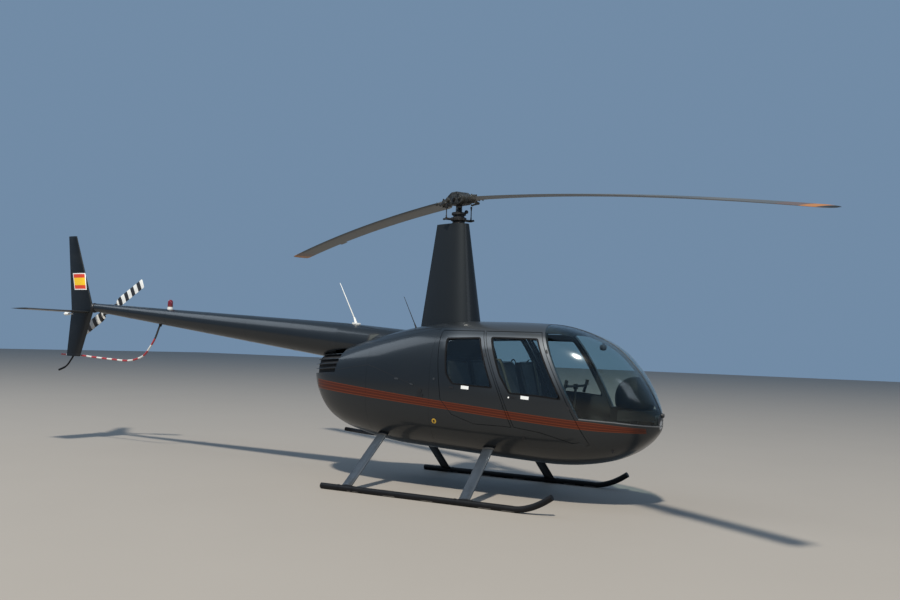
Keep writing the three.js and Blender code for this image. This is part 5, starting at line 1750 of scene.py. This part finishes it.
GRAINED = """
lining cabin_lining 0.022 0.022 0.024  0.8 700 0 0.15
rubber rubber 0.014 0.014 0.015  0.75 500 0 0.25
seal seal_rubber 0.004 0.004 0.005  0.65 500 0 0.05 0.0006 0 0.15
black bay_black 0.006 0.006 0.007  0.8 350 0 0.15
steel machined_steel 0.3 0.3 0.29  0.3 600 0.9 0.3
gearbox gearbox_black 0.014 0.014 0.016  0.4 350 0.3 0.15
skid skid_black 0.006 0.006 0.007  0.5 260 0 0.08 0.0006 0 0.2
shoe shoe_steel 0.2 0.19 0.18  0.5 350 0.7 0.6
white white_fitting 0.7 0.7 0.68  0.4 350 0 0.1
lens white_lens 0.8 0.8 0.78  0.12 60 0 0.1 0.0006 1
beacon beacon_red 0.14 0.004 0.012  0.12 60 0 0.1 0.0006 1
piping piping_black 0.01 0.01 0.011  0.5 500 0 0.15
headset headset_green 0.05 0.056 0.04  0.45 400 0 0.3
hood hood_black 0.004 0.0045 0.005  0.7 600 0 0.15
panel panel_grey 0.01 0.011 0.012  0.65 600 0 0.2
gauge gauge_black 0.006 0.006 0.007  0.25 300 0 0.1
worn_black worn_black 0.014 0.014 0.016  0.42 350 0.3 0.6
header header_black 0.006 0.007 0.008  0.85 800 0 0.1
carpet floor_carpet 0.007 0.007 0.008  0.95 900 0 0.2 0.002
engine engine_grey 0.05 0.05 0.048  0.5 120 0.5 0.6 0.001
lamp lamp_reflector 0.62 0.62 0.6  0.18 80 0.9 0.1
label blank_label 0.8 0.8 0.79  0.5 200 0 0.1
bay recess_black 0.003 0.003 0.004  0.5 300 0 0.1
latch latch_steel 0.085 0.09 0.095  0.32 350 0.8 0.5
yellow ring_yellow 0.5 0.3 0.03  0.45 200 0 0.3
trim trim_silver 0.2 0.21 0.22  0.35 350 0.7 0.3
seam seam_dark 0.005 0.005 0.006  0.6 350 0 0.1
scoop scoop_grey 0.03 0.034 0.03  0.55 350 0 0.4
shaft oiled_shaft 0.04 0.04 0.04  0.3 350 0.8 0.5
"""  # finish, material, colour; roughness, grain, metal, wear, depth, coat, specular
for row in GRAINED.strip().splitlines():
    tone, material, *numbers = row.split()
    numbers = [float(number) for number in numbers]
    FINISH[tone] = grained(material, numbers[:3], *numbers[3:])
RED_WHITE = ((0.36, 0.02, 0.03), (0.66, 0.65, 0.63))
GUARD = [(0.26 + 0.108 * k, 0.368 + 0.108 * k, RED_WHITE[k % 2]) for k in range(24)]
FINISH["guard"] = banded("guard_bands", (0.02, 0.02, 0.022), GUARD)

skin = add_cabin()
add_cowls(skin)
add_mast_fairing()
add_rotor_head()
add_blade(1, (0.5, 6.5))
add_blade(2, (5.5, 2.5))
add_tail()
add_tail_rotor()
add_landing_gear()
add_seats()
add_belts()
add_headset("headset_right", 0.655, -0.17, 1.405)
add_headset("headset_left", 0.655, 0.17, 1.405)
add_console()
add_controls()
add_fittings()
keep_nodes()
